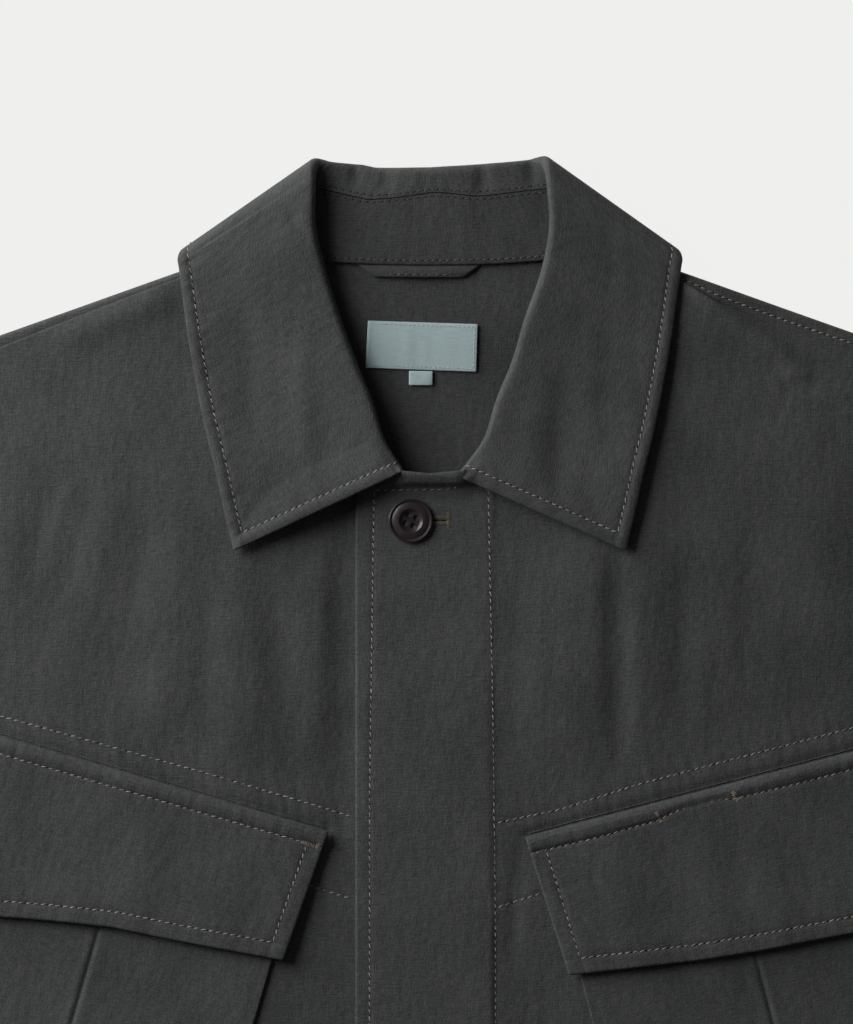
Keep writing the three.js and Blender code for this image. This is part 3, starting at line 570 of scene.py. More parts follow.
# %% Shell cloth
WEAVE = [
    # waves per mm across and along, detail, share in the colour, share in the relief
    (0.26, 1.6, 1.0, 1.05, 0.16),  # weft
    (1.6, 0.30, 1.0, 0.6, 0.11),  # warp
    (0.07, 1.1, 1.0, 0.4, 0.08),  # slubs
    (1.15, 1.1, 2.0, 1.0, 0.18),  # mottle
    (0.035, 0.03, 2.0, 0.8, 0.0),  # cloud
    (0.22, 0.11, 3.0, 0.0, 0.6),  # crinkle
]
SHELL_DARK = np.array([0.0245, 0.0262, 0.0256])
SHELL_LIGHT = np.array([0.0535, 0.0558, 0.0545])
WEAVE_RELIEF = 0.55


def shell_cloth(name, depth=1.0):
    material, tree, shader = new_material(name)
    noises = [grain_noise(tree, *waves[:3]) for waves in WEAVE]
    tone = sum_of(tree, [(noise, waves[3]) for noise, waves in zip(noises, WEAVE) if waves[3]])
    relief = sum_of(tree, [(noise, waves[4]) for noise, waves in zip(noises, WEAVE) if waves[4]])
    # A depth below 1 darkens the whole cloth. The copy for the inside of the neck uses it as painted shade.
    colour = shade_between(tree, tone, SHELL_DARK * depth, SHELL_LIGHT * depth)
    tree.links.new(colour, shader.inputs["Base Color"])
    bump_from(tree, relief, WEAVE_RELIEF, shader)
    set_inputs(shader, Roughness=0.82, Specular_IOR_Level=0.3, Sheen_Weight=0.06, Sheen_Roughness=0.5)
    return material


SHELL = shell_cloth("charcoal_plain_weave")
# A copy of the shell at 0.78 of its brightness, for the back panel, the collar stand and the hanging loop:
# painted shade, where the collar shades the inside of the neck.
SHADED_INSIDE = shell_cloth("charcoal_weave_painted_shade", 0.78)
print("shell cloth made:", len(SHELL.node_tree.nodes), "nodes")


# %% Thread, trim and button finishes
def plain_finish(name, dark, light, roughness, scale, specular=0.3, bump=0.02):
    material, tree, shader = new_material(name)
    place = add_node(tree, "ShaderNodeTexCoord")
    noise = add_node(tree, "ShaderNodeTexNoise")
    set_inputs(noise, Scale=scale, Detail=2.0)
    tree.links.new(place.outputs["Object"], noise.inputs["Vector"])
    value = sum_of(tree, [(noise.outputs["Fac"], 1.6)])
    tree.links.new(shade_between(tree, value, dark, light), shader.inputs["Base Color"])
    bump_from(tree, value, bump, shader)
    set_inputs(shader, Roughness=roughness, Specular_IOR_Level=specular)
    return material


def thread(name, dark, light, scale=260):
    return plain_finish(name, dark, light, 0.6, scale)


KHAKI_THREAD = thread("khaki_thread", (0.075, 0.060, 0.047), (0.31, 0.285, 0.23))
# Darker copies of the khaki thread. The first is painted shade on the rows of the stand and loop inside the
# neck, and the buttonhole is worked in it too. The second is deeper painted shade, on the stand seam rows
# under the roll and on the shadow lines along the flap folds.
SHADED_THREAD = thread("thread_painted_shade", (0.035, 0.029, 0.022), (0.13, 0.112, 0.085))
DEEP_SHADE_THREAD = thread("thread_deep_painted_shade", (0.022, 0.020, 0.017), (0.085, 0.077, 0.064))
BROWN_THREAD = thread("brown_thread", (0.075, 0.052, 0.042), (0.27, 0.215, 0.18))
PALE_THREAD = thread("pale_thread", (0.22, 0.28, 0.29), (0.48, 0.53, 0.53), 300)
# Near-black: painted shade in the needle holes, in the buttonhole's slit and in the crease of the stand seam.
PAINTED_BLACK_SHADE = plain_finish("painted_shade_black", (0.004, 0.004, 0.004), (0.008, 0.008, 0.008), 0.9, 300, 0.0)
BUTTON_RESIN = plain_finish(
    "dark_resin", (0.012, 0.009, 0.010), (0.028, 0.020, 0.0225), 0.33, 160, specular=0.45, bump=0.01
)


def label_satin():
    material, tree, shader = new_material("grey_blue_satin")
    fine = grain_noise(tree, 0.15, 4.2, 1.0)
    warp = grain_noise(tree, 3.0, 0.3, 1.0)
    tone = sum_of(tree, [(fine, 0.8), (warp, 0.4)])
    colour = shade_between(tree, tone, (0.235, 0.31, 0.325), (0.40, 0.49, 0.50))
    tree.links.new(colour, shader.inputs["Base Color"])
    bump_from(tree, tone, 0.05, shader)
    set_inputs(shader, Roughness=0.5, Sheen_Weight=0.15)
    return material


SATIN = label_satin()


def finish(piece, material, replaces):
    if material:
        piece.data.materials.clear()
        piece.data.materials.append(material)
    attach(piece, "root")
    if replaces:
        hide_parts(*replaces)
    return piece


def cloth_piece(node, grid, thickness, grain, material, flip, round_columns=False):
    """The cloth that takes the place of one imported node, and has its name."""
    sheet = sheet_object(f"{node}_cloth", grid, thickness, grain, round_columns, flip)
    return finish(sheet, material, [node])


# %% [markdown]
# ## Stitches
#
# Every seam is topstitched with thread about as thick as a pencil lead, eight stitches to the inch. One
# stitch is modelled as a bead, and copies of it are set end to end along each row and joined into one mesh.

# %% One stitch
PITCH = 3.3
bpy.ops.object.select_all(action="DESELECT")
bpy.ops.mesh.primitive_uv_sphere_add(segments=5, ring_count=4, radius=1.0, location=(0, 0, 0))
bead = bpy.context.object
bead.name = "stitch_pattern"
bpy.ops.object.mode_set(mode="EDIT")
bpy.ops.mesh.select_all(action="SELECT")
bpy.ops.transform.rotate(value=math.pi / 2, orient_axis="Y", center_override=(0, 0, 0))
bpy.ops.object.mode_set(mode="OBJECT")


def from_lowest(face):
    """The same face, listed from its lowest point on. Blender can list a primitive's faces in any order."""
    start = face.index(min(face))
    return face[start:] + face[:start]


bead_points = np.array([v.co for v in bead.data.vertices])
order = np.lexsort(np.round(bead_points, 4).T)
place = np.argsort(order).tolist()
BEAD_POINTS = bead_points[order]
BEAD_FACES = sorted(from_lowest([place[v] for v in p.vertices]) for p in bead.data.polygons)
bpy.data.objects.remove(bead)
print("one stitch has", len(BEAD_FACES), "faces")


# %% Rows of stitches
def along_path(path, pitch):
    """Points every pitch mm along a path, with the direction there."""
    lengths = lengths_along(path)
    count = max(2, int(lengths[-1] / pitch))
    wanted = (np.arange(count) + 0.5) * lengths[-1] / count
    behind, at, ahead = (at_lengths(path, lengths, wanted + shift) for shift in (-pitch / 3, 0, pitch / 3))
    return at, unit(ahead - behind)


STITCH_RANDOM = np.random.default_rng(11)
STITCH_SIZE = np.array([1.32, 0.36, 0.30])
SINK = 0.04


def stitch_object(
    name, rows, material, slot="shell_cloth", pitch=PITCH, size=STITCH_SIZE, tilt=0.27, jitter=0.05
):
    """rows is a list of paths in mm, each an array of points on the cloth's surface."""
    points, faces = [], []
    for path in rows:
        at, direction = along_path(np.asarray(path, float), pitch)
        aside = unit(np.cross((0, 0, 1), direction))
        up = np.cross(direction, aside)
        yaw = STITCH_RANDOM.normal(tilt, jitter, len(at))[:, None]
        along = direction * np.cos(yaw) + aside * np.sin(yaw)
        aside = unit(np.cross(up, along))
        stretch = STITCH_RANDOM.normal(1, jitter, len(at))[:, None, None]
        bead = BEAD_POINTS * size
        made = (
            (at - up * SINK)[:, None, :]
            + along[:, None, :] * bead[None, :, 0:1] * stretch
            + aside[:, None, :] * bead[None, :, 1:2]
            + up[:, None, :] * bead[None, :, 2:3]
        )
        for stitch in made:
            start = len(points) * len(bead)
            points.append(stitch)
            faces.extend([[start + v for v in face] for face in BEAD_FACES])
    mesh = bpy.data.meshes.new(name)
    mesh.from_pydata(in_frame(np.vstack(points)).tolist(), [], faces)
    print(name, len(points), "stitches")
    return finish(smooth_object(name, mesh), material, ())


HOLE_PATHS = []


def topstitch(name, rows, material, size=STITCH_SIZE):
    """A row of stitches. Its needle holes are kept, and their painted shade is made together as the last of
    the sewing.
    """
    HOLE_PATHS.extend(rows)
    return stitch_object(name, rows, material, size=size)


# %% [markdown]
# ## Back panel
#
# The back is one panel. Its cloth comes over the shoulders and shows from the front as a narrow strip, so
# each strip is lofted round the shoulder fold from the panel's edge to the seam with the front.

# %% Outline of the body
FRONT_NECK = np.array(
    [(0, NECK_CUT), (31, -94.5), (50, -87), (64, -75.5), (74, -60), (82, -37), (86.5, -12), (87.8, 1.2)]
)
STRIP_SHARES = [0, 0.2, 0.3, 0.5, 0.7, 1]
STRIP_WIDTHS = {-1: [2.8, 3.1, 3.3, 4, 5.2, 7], 1: [3, 4.6, 8.2, 9.5, 8.6, 8]}
ARMHOLE_IN = unit(through(ARMHOLE, [0.9])[0] - np.array(SHOULDER_TIP))


def shoulder_point(share, inward):
    share, inward = np.asarray(share, float)[..., None], np.asarray(inward, float)[..., None]
    direction = mix(SQUARE_IN, ARMHOLE_IN, share)
    return mix(np.array(NECK_POINT), np.array(SHOULDER_TIP), share) + direction * inward


def strip_width(share, side):
    return np.interp(share, STRIP_SHARES, STRIP_WIDTHS[side])


def body_plan(columns, edge, middle_low, top, row_steps):
    """Plan of half a body panel: rows from hem to neck, columns from the middle or edge to the side."""
    lower, upper = row_steps
    across = (columns - edge) / (HALF_HEM - edge)
    start, end = top[0], top[-1]
    chord = start + (end - start) * across[:, None]
    rows = []
    for share in lower:
        side = through(SIDE_SEAM, [share])[0]
        middle = mix(-BODY_LENGTH, middle_low, share)
        rows.append(np.stack([mix(edge, side[0], across), mix(middle, side[1], across)], -1))
    for share in upper[1:]:
        side = through(ARMHOLE, [share])[0] + (end - np.array(SHOULDER_TIP)) * share**8
        middle = mix(middle_low, start[1], share)
        row = np.stack([mix(edge, side[0], across), mix(middle, side[1], across)], -1)
        rows.append(row + (top - chord) * share**1.5)
    return np.array(rows)


FRONT_ROW_STEPS = (
    steps(0, 1, 0.0195, fine_step=0.004, reach=0.006),
    steps(0, 1, 0.0062, fine=[0.985], fine_step=0.003, reach=0.01),
)
BACK_ROW_STEPS = (
    steps(0, 1, 0.025, fine_step=0.004, reach=0.006),
    steps(0, 1, 0.0125, fine_step=0.003, reach=0.006),
)

# %% Make the back
FOLD_RADIUS = (2 * CLOTH + AIR) / 2
STRIPS = {}


def back_panel():
    columns = steps(0, HALF_HEM, 3.2, fine=[NECK_POINT[0]])
    at_neck = np.argmin(np.abs(columns - NECK_POINT[0]))
    columns[at_neck] = NECK_POINT[0]
    share = np.clip((columns - NECK_POINT[0]) / (HALF_HEM - NECK_POINT[0]), 0, 1)
    neck = np.stack([columns, NECK_POINT[1] * (columns / NECK_POINT[0]) ** 2], -1)
    top = np.where((columns < NECK_POINT[0])[:, None], neck, shoulder_point(share, FOLD_RADIUS))
    half = body_plan(columns, 0.0, UNDERARM[1], top, BACK_ROW_STEPS)
    plan = np.concatenate([half[:, :0:-1] * (-1, 1), half], 1)
    x, y = plan[..., 0], plan[..., 1]
    creases = ripple(x, y, 40, 0.10) * smooth(-150, -90, y) * (1 - smooth(60, 84, np.abs(x)))
    grid = np.stack([x, y, back_underside(x, y) + CLOTH / 2 + np.maximum(creases, -0.15)], -1)
    plate = sheet_object("back_panel", grid, CLOTH, plan)
    # The panel takes the darker copy of the shell, painted shade inside the neck. The shoulder strips take
    # the shell.
    plate.data.materials.append(SHADED_INSIDE)
    pieces = [plate]
    turn = np.concatenate([np.linspace(0, math.pi, 9), [math.pi]])
    for side in (-1, 1):
        inner = share[at_neck:]
        rows = []
        for step, angle in enumerate(turn):
            on_strip = step == len(turn) - 1
            radius = FOLD_RADIUS - CLOTH / 2
            inward = strip_width(inner, side) if on_strip else FOLD_RADIUS - radius * math.sin(angle)
            at = shoulder_point(inner, inward * np.ones_like(inner))
            height = back_underside(at[:, 0], at[:, 1]) + FOLD_RADIUS - radius * math.cos(angle)
            rows.append(np.column_stack([at[:, 0] * side, at[:, 1], height]))
        strip = np.array(rows)
        STRIPS[side] = strip
        pieces.append(sheet_object("strip", strip, CLOTH * 0.98, strip[..., :2], flip=side < 0))
        pieces[-1].data.materials.append(SHELL)
    bpy.ops.object.select_all(action="DESELECT")
    for piece in pieces:
        piece.select_set(True)
    bpy.context.view_layer.objects.active = plate
    bpy.ops.object.join()
    return plate


back = finish(back_panel(), None, ["back"])

# %% [markdown]
# ## Fronts
#
# The wearer's left front carries the placket, a band of doubled cloth 62 mm wide between its two rows of
# stitches. The right front lies under it. Both are planned from the centre edge outward, on one set of
# rows.

# %% Make the fronts
def neck_line(x, side):
    near_centre = 1 - smooth(20, 50, x)
    at_centre = OVER_NECK if side > 0 else UNDER_NECK
    return np.interp(x, FRONT_NECK[:, 0], FRONT_NECK[:, 1]) + near_centre * (at_centre - NECK_CUT)


PLACKET_ROWS = [-26.4, 28.6]
NECK_LIP, NECK_TUCK = 2.3, -3.2
FRONT_MIDDLE_ROW = -322.0


def front_grid(side):
    edge = OVER_EDGE if side > 0 else -UNDER_EDGE
    rows_across = PLACKET_ROWS if side > 0 else []
    columns = steps(edge, HALF_HEM, 1.95, fine=[*rows_across, NECK_POINT[0]])
    columns[np.argmin(np.abs(columns - NECK_POINT[0]))] = NECK_POINT[0]
    share = np.clip((columns - NECK_POINT[0]) / (HALF_HEM - NECK_POINT[0]), 0, 1)
    at_middle = 1 - smooth(LIP_HALF_WIDTH, LIP_HALF_WIDTH + 7, np.abs(columns))
    turned = (NECK_LIP if side > 0 else NECK_TUCK) * at_middle
    neck = np.stack([columns, neck_line(np.abs(columns), side) + turned], -1)
    shoulder = shoulder_point(share, strip_width(share, side) + SEAM_GAP + 0.05)
    top = np.where((columns < NECK_POINT[0])[:, None], neck, shoulder)
    plan = body_plan(columns, edge, FRONT_MIDDLE_ROW, top, FRONT_ROW_STEPS)
    x, y = plan[..., 0] * side, plan[..., 1]
    thickness = over_thickness(x) if side > 0 else np.full(x.shape, CLOTH)
    grid = np.stack([x, y, front_top(x, y, side) - fold_groove(x, y) - thickness / 2], -1)
    return grid, thickness, np.stack([x, y], -1)


for side, name in ((1, "front_left"), (-1, "front_right")):
    grid, thickness, grain = front_grid(side)
    cloth_piece(name, grid, thickness, grain, SHELL, flip=side < 0)

# %% [markdown]
# ## Sleeves
#
# Each sleeve is a flat tube. Its underside rests on the table, its two edges are pressed folds, and its top
# is slightly crowned, with drag lines that run down from the underarm and gather at the elbow.

# %% Sleeve shape
SLEEVE_OUTER = [
    SHOULDER_TIP, (300, -76), (366, -116), (425, -168), (482, -236), (540, -309), (604, -391), (668, -473)
]
SLEEVE_INNER = [UNDERARM, (340, -339), (404, -402), (480, -478), (561, -556)]
SLEEVE_FOLDS = [
    (300, -250, 392, -150, 15, 3.0),
    (318, -300, 442, -196, 13, 2.6),
    (282, -160, 356, -140, 14, 2.0),
    (360, -350, 470, -262, 13, 2.2),
    (430, -404, 540, -330, 14, 3.0),
    (446, -440, 560, -372, 12, 2.6),
    (520, -492, 612, -436, 13, 2.0),
]
SLEEVE_CREASES = [
    (292, -224, 350, -160, 6, 0.8),
    (330, -280, 392, -236, 6, -0.8),
    (402, -366, 462, -318, 6, -0.8),
    (424, -352, 500, -300, 7, 0.7),
    (486, -440, 556, -398, 6, -0.8),
    (560, -500, 622, -452, 7, 0.7),
    (350, -210, 408, -172, 6, 0.6),
]


SLEEVE_LENGTH = 620
SLEEVE_CROWN = 2.0
TOP_COUNT, BOTTOM_COUNT = 72, 14
EDGE_BULGE = np.array([0.55, 0.9, 1.0, 0.9, 0.55])
SLEEVE_RINGS = {}


def sleeve(side):
    top_columns = np.linspace(0, 1, TOP_COUNT)
    bottom_columns = np.linspace(0, 1, BOTTOM_COUNT)
    rows = steps(0, 1, 0.0075, fine_step=0.003, reach=0.01)
    outer, inner = through(SLEEVE_OUTER, rows), through(SLEEVE_INNER, rows)

    def plan(across, row):
        arm = through(ARMHOLE, across)
        chord = np.array(UNDERARM) + (np.array(SHOULDER_TIP) - UNDERARM) * across[:, None]
        base = inner[row] + (outer[row] - inner[row]) * across[:, None]
        return base + (arm - chord) * (1 - rows[row]) ** 3

    rings, grain = [], []
    for row, along in enumerate(rows):
        out = unit(outer[row] - inner[row])
        clear = 0.4 * np.array([out[1], -out[0]]) if row == 0 else np.zeros(2)

        def height(across, points):
            x, y = points.T
            crown = SLEEVE_CROWN * np.sin(math.pi * across) * smooth(0, 0.15, along)
            folds = fold_height(SLEEVE_FOLDS, x, y) + fold_height(SLEEVE_CREASES, x, y)
            folds = folds + ripple(x, y, 50, 0.3)
            folds = folds * smooth(0, 0.06, along) * smooth(0, 0.14, across) * (1 - smooth(0.86, 1, across))
            return np.maximum(2 * CLOTH + AIR + crown + folds, 3.2) - CLOTH / 2

        low, high = plan(bottom_columns, row), plan(top_columns, row)
        edge_height = 2 * CLOTH + AIR - CLOTH / 2
        turn = np.linspace(CLOTH / 2, edge_height, len(EDGE_BULGE) + 2)[1:-1]
        reach = out * (AIR - CLOTH / 2)
        ring = [np.column_stack([low, np.full(len(low), CLOTH / 2)])]
        ring.append(np.column_stack([low[-1] + reach * EDGE_BULGE[:, None], turn]))
        ring.append(np.column_stack([high, height(top_columns, high)])[::-1])
        ring.append(np.column_stack([low[0] - reach * EDGE_BULGE[:, None], turn[::-1]]))
        ring = np.vstack(ring)
        ring[:, :2] += clear
        ring[:, 0] *= side
        rings.append(ring)
        around = lengths_along(ring[:, :2])
        grain.append(np.column_stack([around, np.full(len(ring), along * SLEEVE_LENGTH)]))
    return np.array(rings), np.array(grain)


for side, name in ((1, "sleeve_left"), (-1, "sleeve_right")):
    rings, grain = sleeve(side)
    SLEEVE_RINGS[side] = rings
    cloth_piece(name, rings, CLOTH, grain, SHELL, flip=side > 0, round_columns=True)

# %% [markdown]
# ## Collar
#
# A collar is a stand sewn to the neck and a fall that rolls over it. At the back the fall is folded under,
# so the inside of the stand shows. At the front the leaves lie over it. Stations round the neck give the
# neck seam, the roll and the free edge, and the sections between them are lofted into one continuous
# surface.

# %% Collar stations
COLLAR_ROWS = [
    # neck x, y, z, roll x on the wearer's right and left, roll y, z, edge x, y, z, turn, round
    # None is taken from the fronts.
    (16.5, None, None, 12.6, 13.2, -94.8, 7.9, 88.6, -130.2, None, 0, 1.2),
    (31, None, None, 21, 24.8, -81, 8.3, 93, -112, None, 0, 1.7),
    (50, None, None, 26.8, 30.7, -63, 8.8, 97.2, -93, None, 0, 2.1),
    (64, None, None, 34.2, 38, -45, 9.2, 101.8, -74, None, 0, 2.3),
    (74, None, None, 41, 43.6, -26, 9.4, 105.8, -54, None, 0, 2.4),
    (82, None, None, 47.9, 51.2, -4, 9.5, 109.4, -33, None, 0, 2.4),
    (86.5, None, None, 52.5, 54.8, 16, 9.4, 112, -14, None, 0, 2.3),
    (87.4, None, None, 52.7, 53.8, 34, 9.1, 113.4, -3, None, 6, 2.1),
    (88, 3.4, 5.1, 52.4, 52.4, 42.4, 8, 114, 2, 8, 35, 1.9),
    (88.2, 5.2, 4.4, 51.2, 51.2, 45.6, 5.6, 111.8, 5.8, 5, 90, 1.8),
    (86.4, 5.8, 3.9, 48.6, 48.6, 46, 3.3, 106.5, 6, 2.2, 145, 1.7),
    (79, 6, 3.9, 45.2, 45.2, 45.3, 2.5, 95, 0, 0.8, 174, 1.6),
    (66, 3.9, 4.6, 39, 39, 44.8, 2.7, 78, -6, 0.8, 180, 1.8),
    (48, 1.8, 5, 28, 28, 44.2, 3.2, 55, -10.5, 0.8, 180, 2.3),
    (25, 0.8, 5, 15, 15, 43.5, 3.6, 28, -13.4, 0.8, 180, 2.7),
    (0, 0.7, 5, 0, 0, 43.1, 3.7, 0, -14, 0.8, 180, 2.8),
]
NECK_CLEARANCE = 1.2
FRONT_ROWS = 8
STAND_SHARE = 0.76
SILHOUETTE = np.array([0.567, 0.824, 0.0])
LEFT_END_DROP = 2.0
CORNER_LIFT = {-1: 3.2, 1: 0.5}
END_LIFT = {-1: 3.2, 1: 1.8}
ROLL_SHIFT = np.array([(-51, -0.2), (-31, -0.6), (-25, -1.6), (-14, -1.1), (9, -0.2), (32, 0.3), (50, 0.9)])
STAND_SEAM = np.array([
    (-50, 33.4), (-41, 31.6), (-32, 29.5), (-27, 28.4), (-14, 29.5),
    (0, 31.7), (7, 31.6), (20.5, 30), (32, 31.1), (52, 33.6),
])


def collar_stations(side):
    rows = []
    for i, row in enumerate(COLLAR_ROWS):
        neck_x, neck_y, neck_z = row[:3]
        right_roll, left_roll, roll_y, roll_z = row[3:7]
        edge_x, edge_y, edge_z, turn, size = row[7:]
        roll_x = left_roll if side > 0 else right_roll
        roll_z += CORNER_LIFT[side] * smooth(30, 50, roll_x) * smooth(-20, 25, roll_y)
        roll_z += END_LIFT[side] * (1 - smooth(0, 3.5, i))
        if i < FRONT_ROWS:
            neck_y = float(neck_line(neck_x, side))
            neck_z = float(front_top(neck_x * side, neck_y, side)) - CLOTH / 2
            edge_z = float(front_top(edge_x * side, edge_y, side)) + SEAM_GAP + COLLAR / 2 + 0.5
        if i == 0 and side > 0:
            roll_y -= LEFT_END_DROP
        rows.append((neck_x, neck_y, neck_z, roll_x, roll_y, roll_z, edge_x, edge_y, edge_z, turn, size))
    return np.array(rows, float)


ROLL_DENTS = [
    # x0, y0, x1, y1, width, height: soft dents over the roll at the back neck
    (-34, 32, -34, 54, 2.6, -0.8),
    (-20, 30, -20, 54, 3.2, -0.7),
    (-8, 30, -7, 54, 4.5, 0.35),
    (24, 28, 24, 54, 3.0, -0.8),
    (46, 31, 46, 56, 2.8, -0.7),
]
# How many points a section has on the stand, round the roll and between the two, and along the fall.
STAND_COUNT, ROLL_COUNT = 26, 13
RISE_COUNT = 7
ROLL_END = RISE_COUNT + ROLL_COUNT
NEAR_EDGE = [0.11, 0.095, 0.08, 0.065, 0.05, 0.036, 0.024, 0.012, 0.0]
FALL_LENGTHS = np.concatenate([np.linspace(0, 1, 38)[:-5], 1 - np.array(NEAR_EDGE)])
FALL_LENGTHS = np.unique(np.round(np.clip(FALL_LENGTHS, 0, 1), 4))
LEAF_SAG = 0.9


def collar_half(side, samples):
    """Grids of the stand and of the fall for one half, front end first."""
    table = between_rows(collar_stations(side), samples)
    neck, roll, edge = table[:, 0:3].copy(), table[:, 3:6].copy(), table[:, 6:9].copy()
    at_back = smooth(20, 44, roll[:, 1])
    roll[:, 1] += np.interp(roll[:, 0] * side, ROLL_SHIFT[:, 0], ROLL_SHIFT[:, 1]) * at_back
    to_middle = np.column_stack([-neck[:, 0], -35 - neck[:, 1], np.zeros(len(neck))])
    neck += unit(to_middle) * NECK_CLEARANCE
    turn, size = np.radians(np.clip(table[:, 9], 0, 180)), table[:, 10]
    outward = np.outer(np.cos(turn), (0, 0, 1)) + np.outer(np.sin(turn), SILHOUETTE)
    legs = (neck + edge) / 2 - roll
    legs = unit(legs - outward * np.sum(legs * outward, 1)[:, None])
    centre = roll + legs * size[:, None]
    arc = []
    for angle in np.linspace(0, math.pi, ROLL_COUNT):
        arc.append(centre + (-math.cos(angle) * outward - math.sin(angle) * legs) * size[:, None])
    arc = np.array(arc).swapaxes(0, 1)
    seam = neck + (arc[:, 0] - neck) * STAND_SHARE
    wanted = np.interp(seam[:, 0] * side, STAND_SEAM[:, 0], STAND_SEAM[:, 1])
    change = np.clip((wanted - seam[:, 1]) / (arc[:, 0, 1] - neck[:, 1]), -0.12, 0.12)
    seam = seam + (arc[:, 0] - neck) * (change * smooth(120, 170, table[:, 9]))[:, None]
    gap = SEAM_GAP / np.maximum(np.linalg.norm(arc[:, 0] - seam, axis=1), 1)[:, None]
    shares = np.concatenate([np.linspace(0, 0.9, STAND_COUNT - 5), [0.925, 0.95, 0.97, 0.985, 1.0]])
    stand = neck[:, None] + (seam - neck)[:, None] * shares[None, :, None]
    start = seam + (arc[:, 0] - seam) * gap
    rise = start[:, None] + (arc[:, 0] - start)[:, None] * np.linspace(0, 1, RISE_COUNT + 1)[None, :-1, None]
    drop = arc[:, -1][:, None] + (edge - arc[:, -1])[:, None] * FALL_LENGTHS[None, 1:, None]
    on_top = np.cos(turn)[:, None]
    sag = np.sin(math.pi * FALL_LENGTHS[1:]) * np.clip(on_top, 0, 1)
    drop[..., 2] -= LEAF_SAG * sag
    fall = np.concatenate([rise, arc, drop], 1)
    fall[..., 0] *= side
    dents = fold_height(ROLL_DENTS, fall[..., 0], fall[..., 1]) * at_back[:, None]
    fall[:, :ROLL_END, 2] += dents[:, :ROLL_END]
    fall[..., 2] = np.maximum(fall[..., 2], COLLAR / 2 + 0.1)
    stand[..., 0] *= side
    return stand, fall


def collar_samples():
    """Where the sections are taken, in rows of the table. They are closest at the front end."""
    gaps = [0.06] * 7 + [0.1] * 8
    front_edge = [0, 0.012, 0.03, 0.055, 0.085, 0.12, 0.16, 0.21, 0.26, 0.31, 0.355]
    rest = [np.arange(i + (0.4 if i == 0 else 0), i + 1, gap) for i, gap in enumerate(gaps)]
    return np.unique(np.round(np.concatenate([front_edge, *rest, [15.0]]), 4))


SAMPLES = collar_samples()
half_left, half_right = collar_half(1, SAMPLES), collar_half(-1, SAMPLES)
stand_grid = np.concatenate([half_right[0][:-1], half_left[0][::-1]])
fall_grid = np.concatenate([half_right[1][:-1], half_left[1][::-1]])
crumple = ripple(stand_grid[..., 0] * 1.6, stand_grid[..., 1], 30, 0.16)
stand_grid[..., 2] += crumple * np.sin(math.pi * np.linspace(0, 1, STAND_COUNT))[None, :]
print("collar grid", fall_grid.shape, "stations", len(SAMPLES))

# %% [markdown]
# Each leaf is pressed flat but for its edges, which stand a little off the jacket. The turned edge is a
# soft roll of doubled cloth outside its row of stitches, and the row draws in a groove with puckers along
# it.

# %% Drape the leaves over the fronts
EDGE_INSET = 4.9
LEAF_CREASES = [
    # x0, y0, x1, y1, width, height
    (-66, 24, -50, 6, 2.4, -1.2),
    (-58, 30, -54, 8, 3.0, 0.5),
    (55, 30, 59, 6, 2.4, -0.7),
    (60, -44, 58, -110, 6.0, -0.7),
    (46, -60, 44, -108, 5.0, 0.4),
    (74, -20, 72, -96, 5.0, 0.4),
    (-84, -10, -80, -90, 6.0, -0.4),
    (-60, -30, -56, -108, 5.0, 0.4),
]
OUTER_EDGE_LIFT = {-1: 1.3, 1: 1.6}
LOWER_END_LIFT = {-1: 3.4, 1: 2.2}
leaf = fall_grid[:, ROLL_END:]
leaf_side = np.where(np.arange(len(leaf)) < len(SAMPLES) - 1, -1, 1)
station = np.concatenate([SAMPLES[:-1], SAMPLES[::-1]])
for side in (-1, 1):
    rows = (station < 7.5) & (leaf_side == side)
    x, y = leaf[rows][..., 0], leaf[rows][..., 1]
    over_left = np.where(x > OVER_EDGE - 2, front_top(x, y, 1), front_top(x, y, -1))
    lifted = leaf[rows]
    lifted[..., 2] = np.maximum(lifted[..., 2], over_left + SEAM_GAP + COLLAR / 2)
    down = FALL_LENGTHS[1:]
    wrinkles = np.abs(ripple(x * 1.3, y * 0.8, 34, 0.25)) + fold_height(LEAF_CREASES, x, y) + 0.3
    lifted[..., 2] += wrinkles * np.sin(math.pi * down) ** 0.5
    outer_lift = OUTER_EDGE_LIFT[side] * smooth(-10, -75, y) * smooth(0.5, 1.0, down)
    lower_lift = LOWER_END_LIFT[side] * (1 - smooth(0, 1.3, station[rows]))[:, None]
    lower_lift = lower_lift * smooth(-0.2, 0.2, down) * (1 - 0.5 * smooth(0.6, 1.0, down))
    lifted[..., 2] += np.maximum(outer_lift, lower_lift)
    leaf[rows] = lifted


def leaf_distances():
    """How far each point of the fall is from its free edge and its nearer front end, and the place along."""
    from_edge = np.linalg.norm(leaf - leaf[:, -1:], axis=2)
    from_start = np.cumsum(np.linalg.norm(np.diff(leaf, axis=0, prepend=leaf[:1]), axis=2), 0)
    from_end = np.minimum(from_start, from_start[-1] - from_start)
    return from_edge, from_end, from_start[:, -1:]


from_edge, from_end, along_edge = leaf_distances()
band = 0.30 * np.sin(math.pi * np.clip(from_edge / EDGE_INSET, 0, 1))
groove = -0.30 * bell(from_edge - EDGE_INSET, 1.0) * (from_end > EDGE_INSET)
pucker = 0.13 * pucker_wave(along_edge) * bell(from_edge - EDGE_INSET, 5)
end_band = 0.25 * np.sin(math.pi * np.clip(from_end / EDGE_INSET, 0, 1))
end_band = end_band - 0.25 * bell(from_end - EDGE_INSET, 1.0)
end_pucker = 0.10 * pucker_wave(from_edge) * bell(from_end - EDGE_INSET, 5)
shown = (station < 9)[:, None]
leaf[..., 2] += np.where(shown, band + groove + pucker + (end_band + end_pucker) * (from_edge > 2), 0)
fall_grid[:, ROLL_END:] = leaf


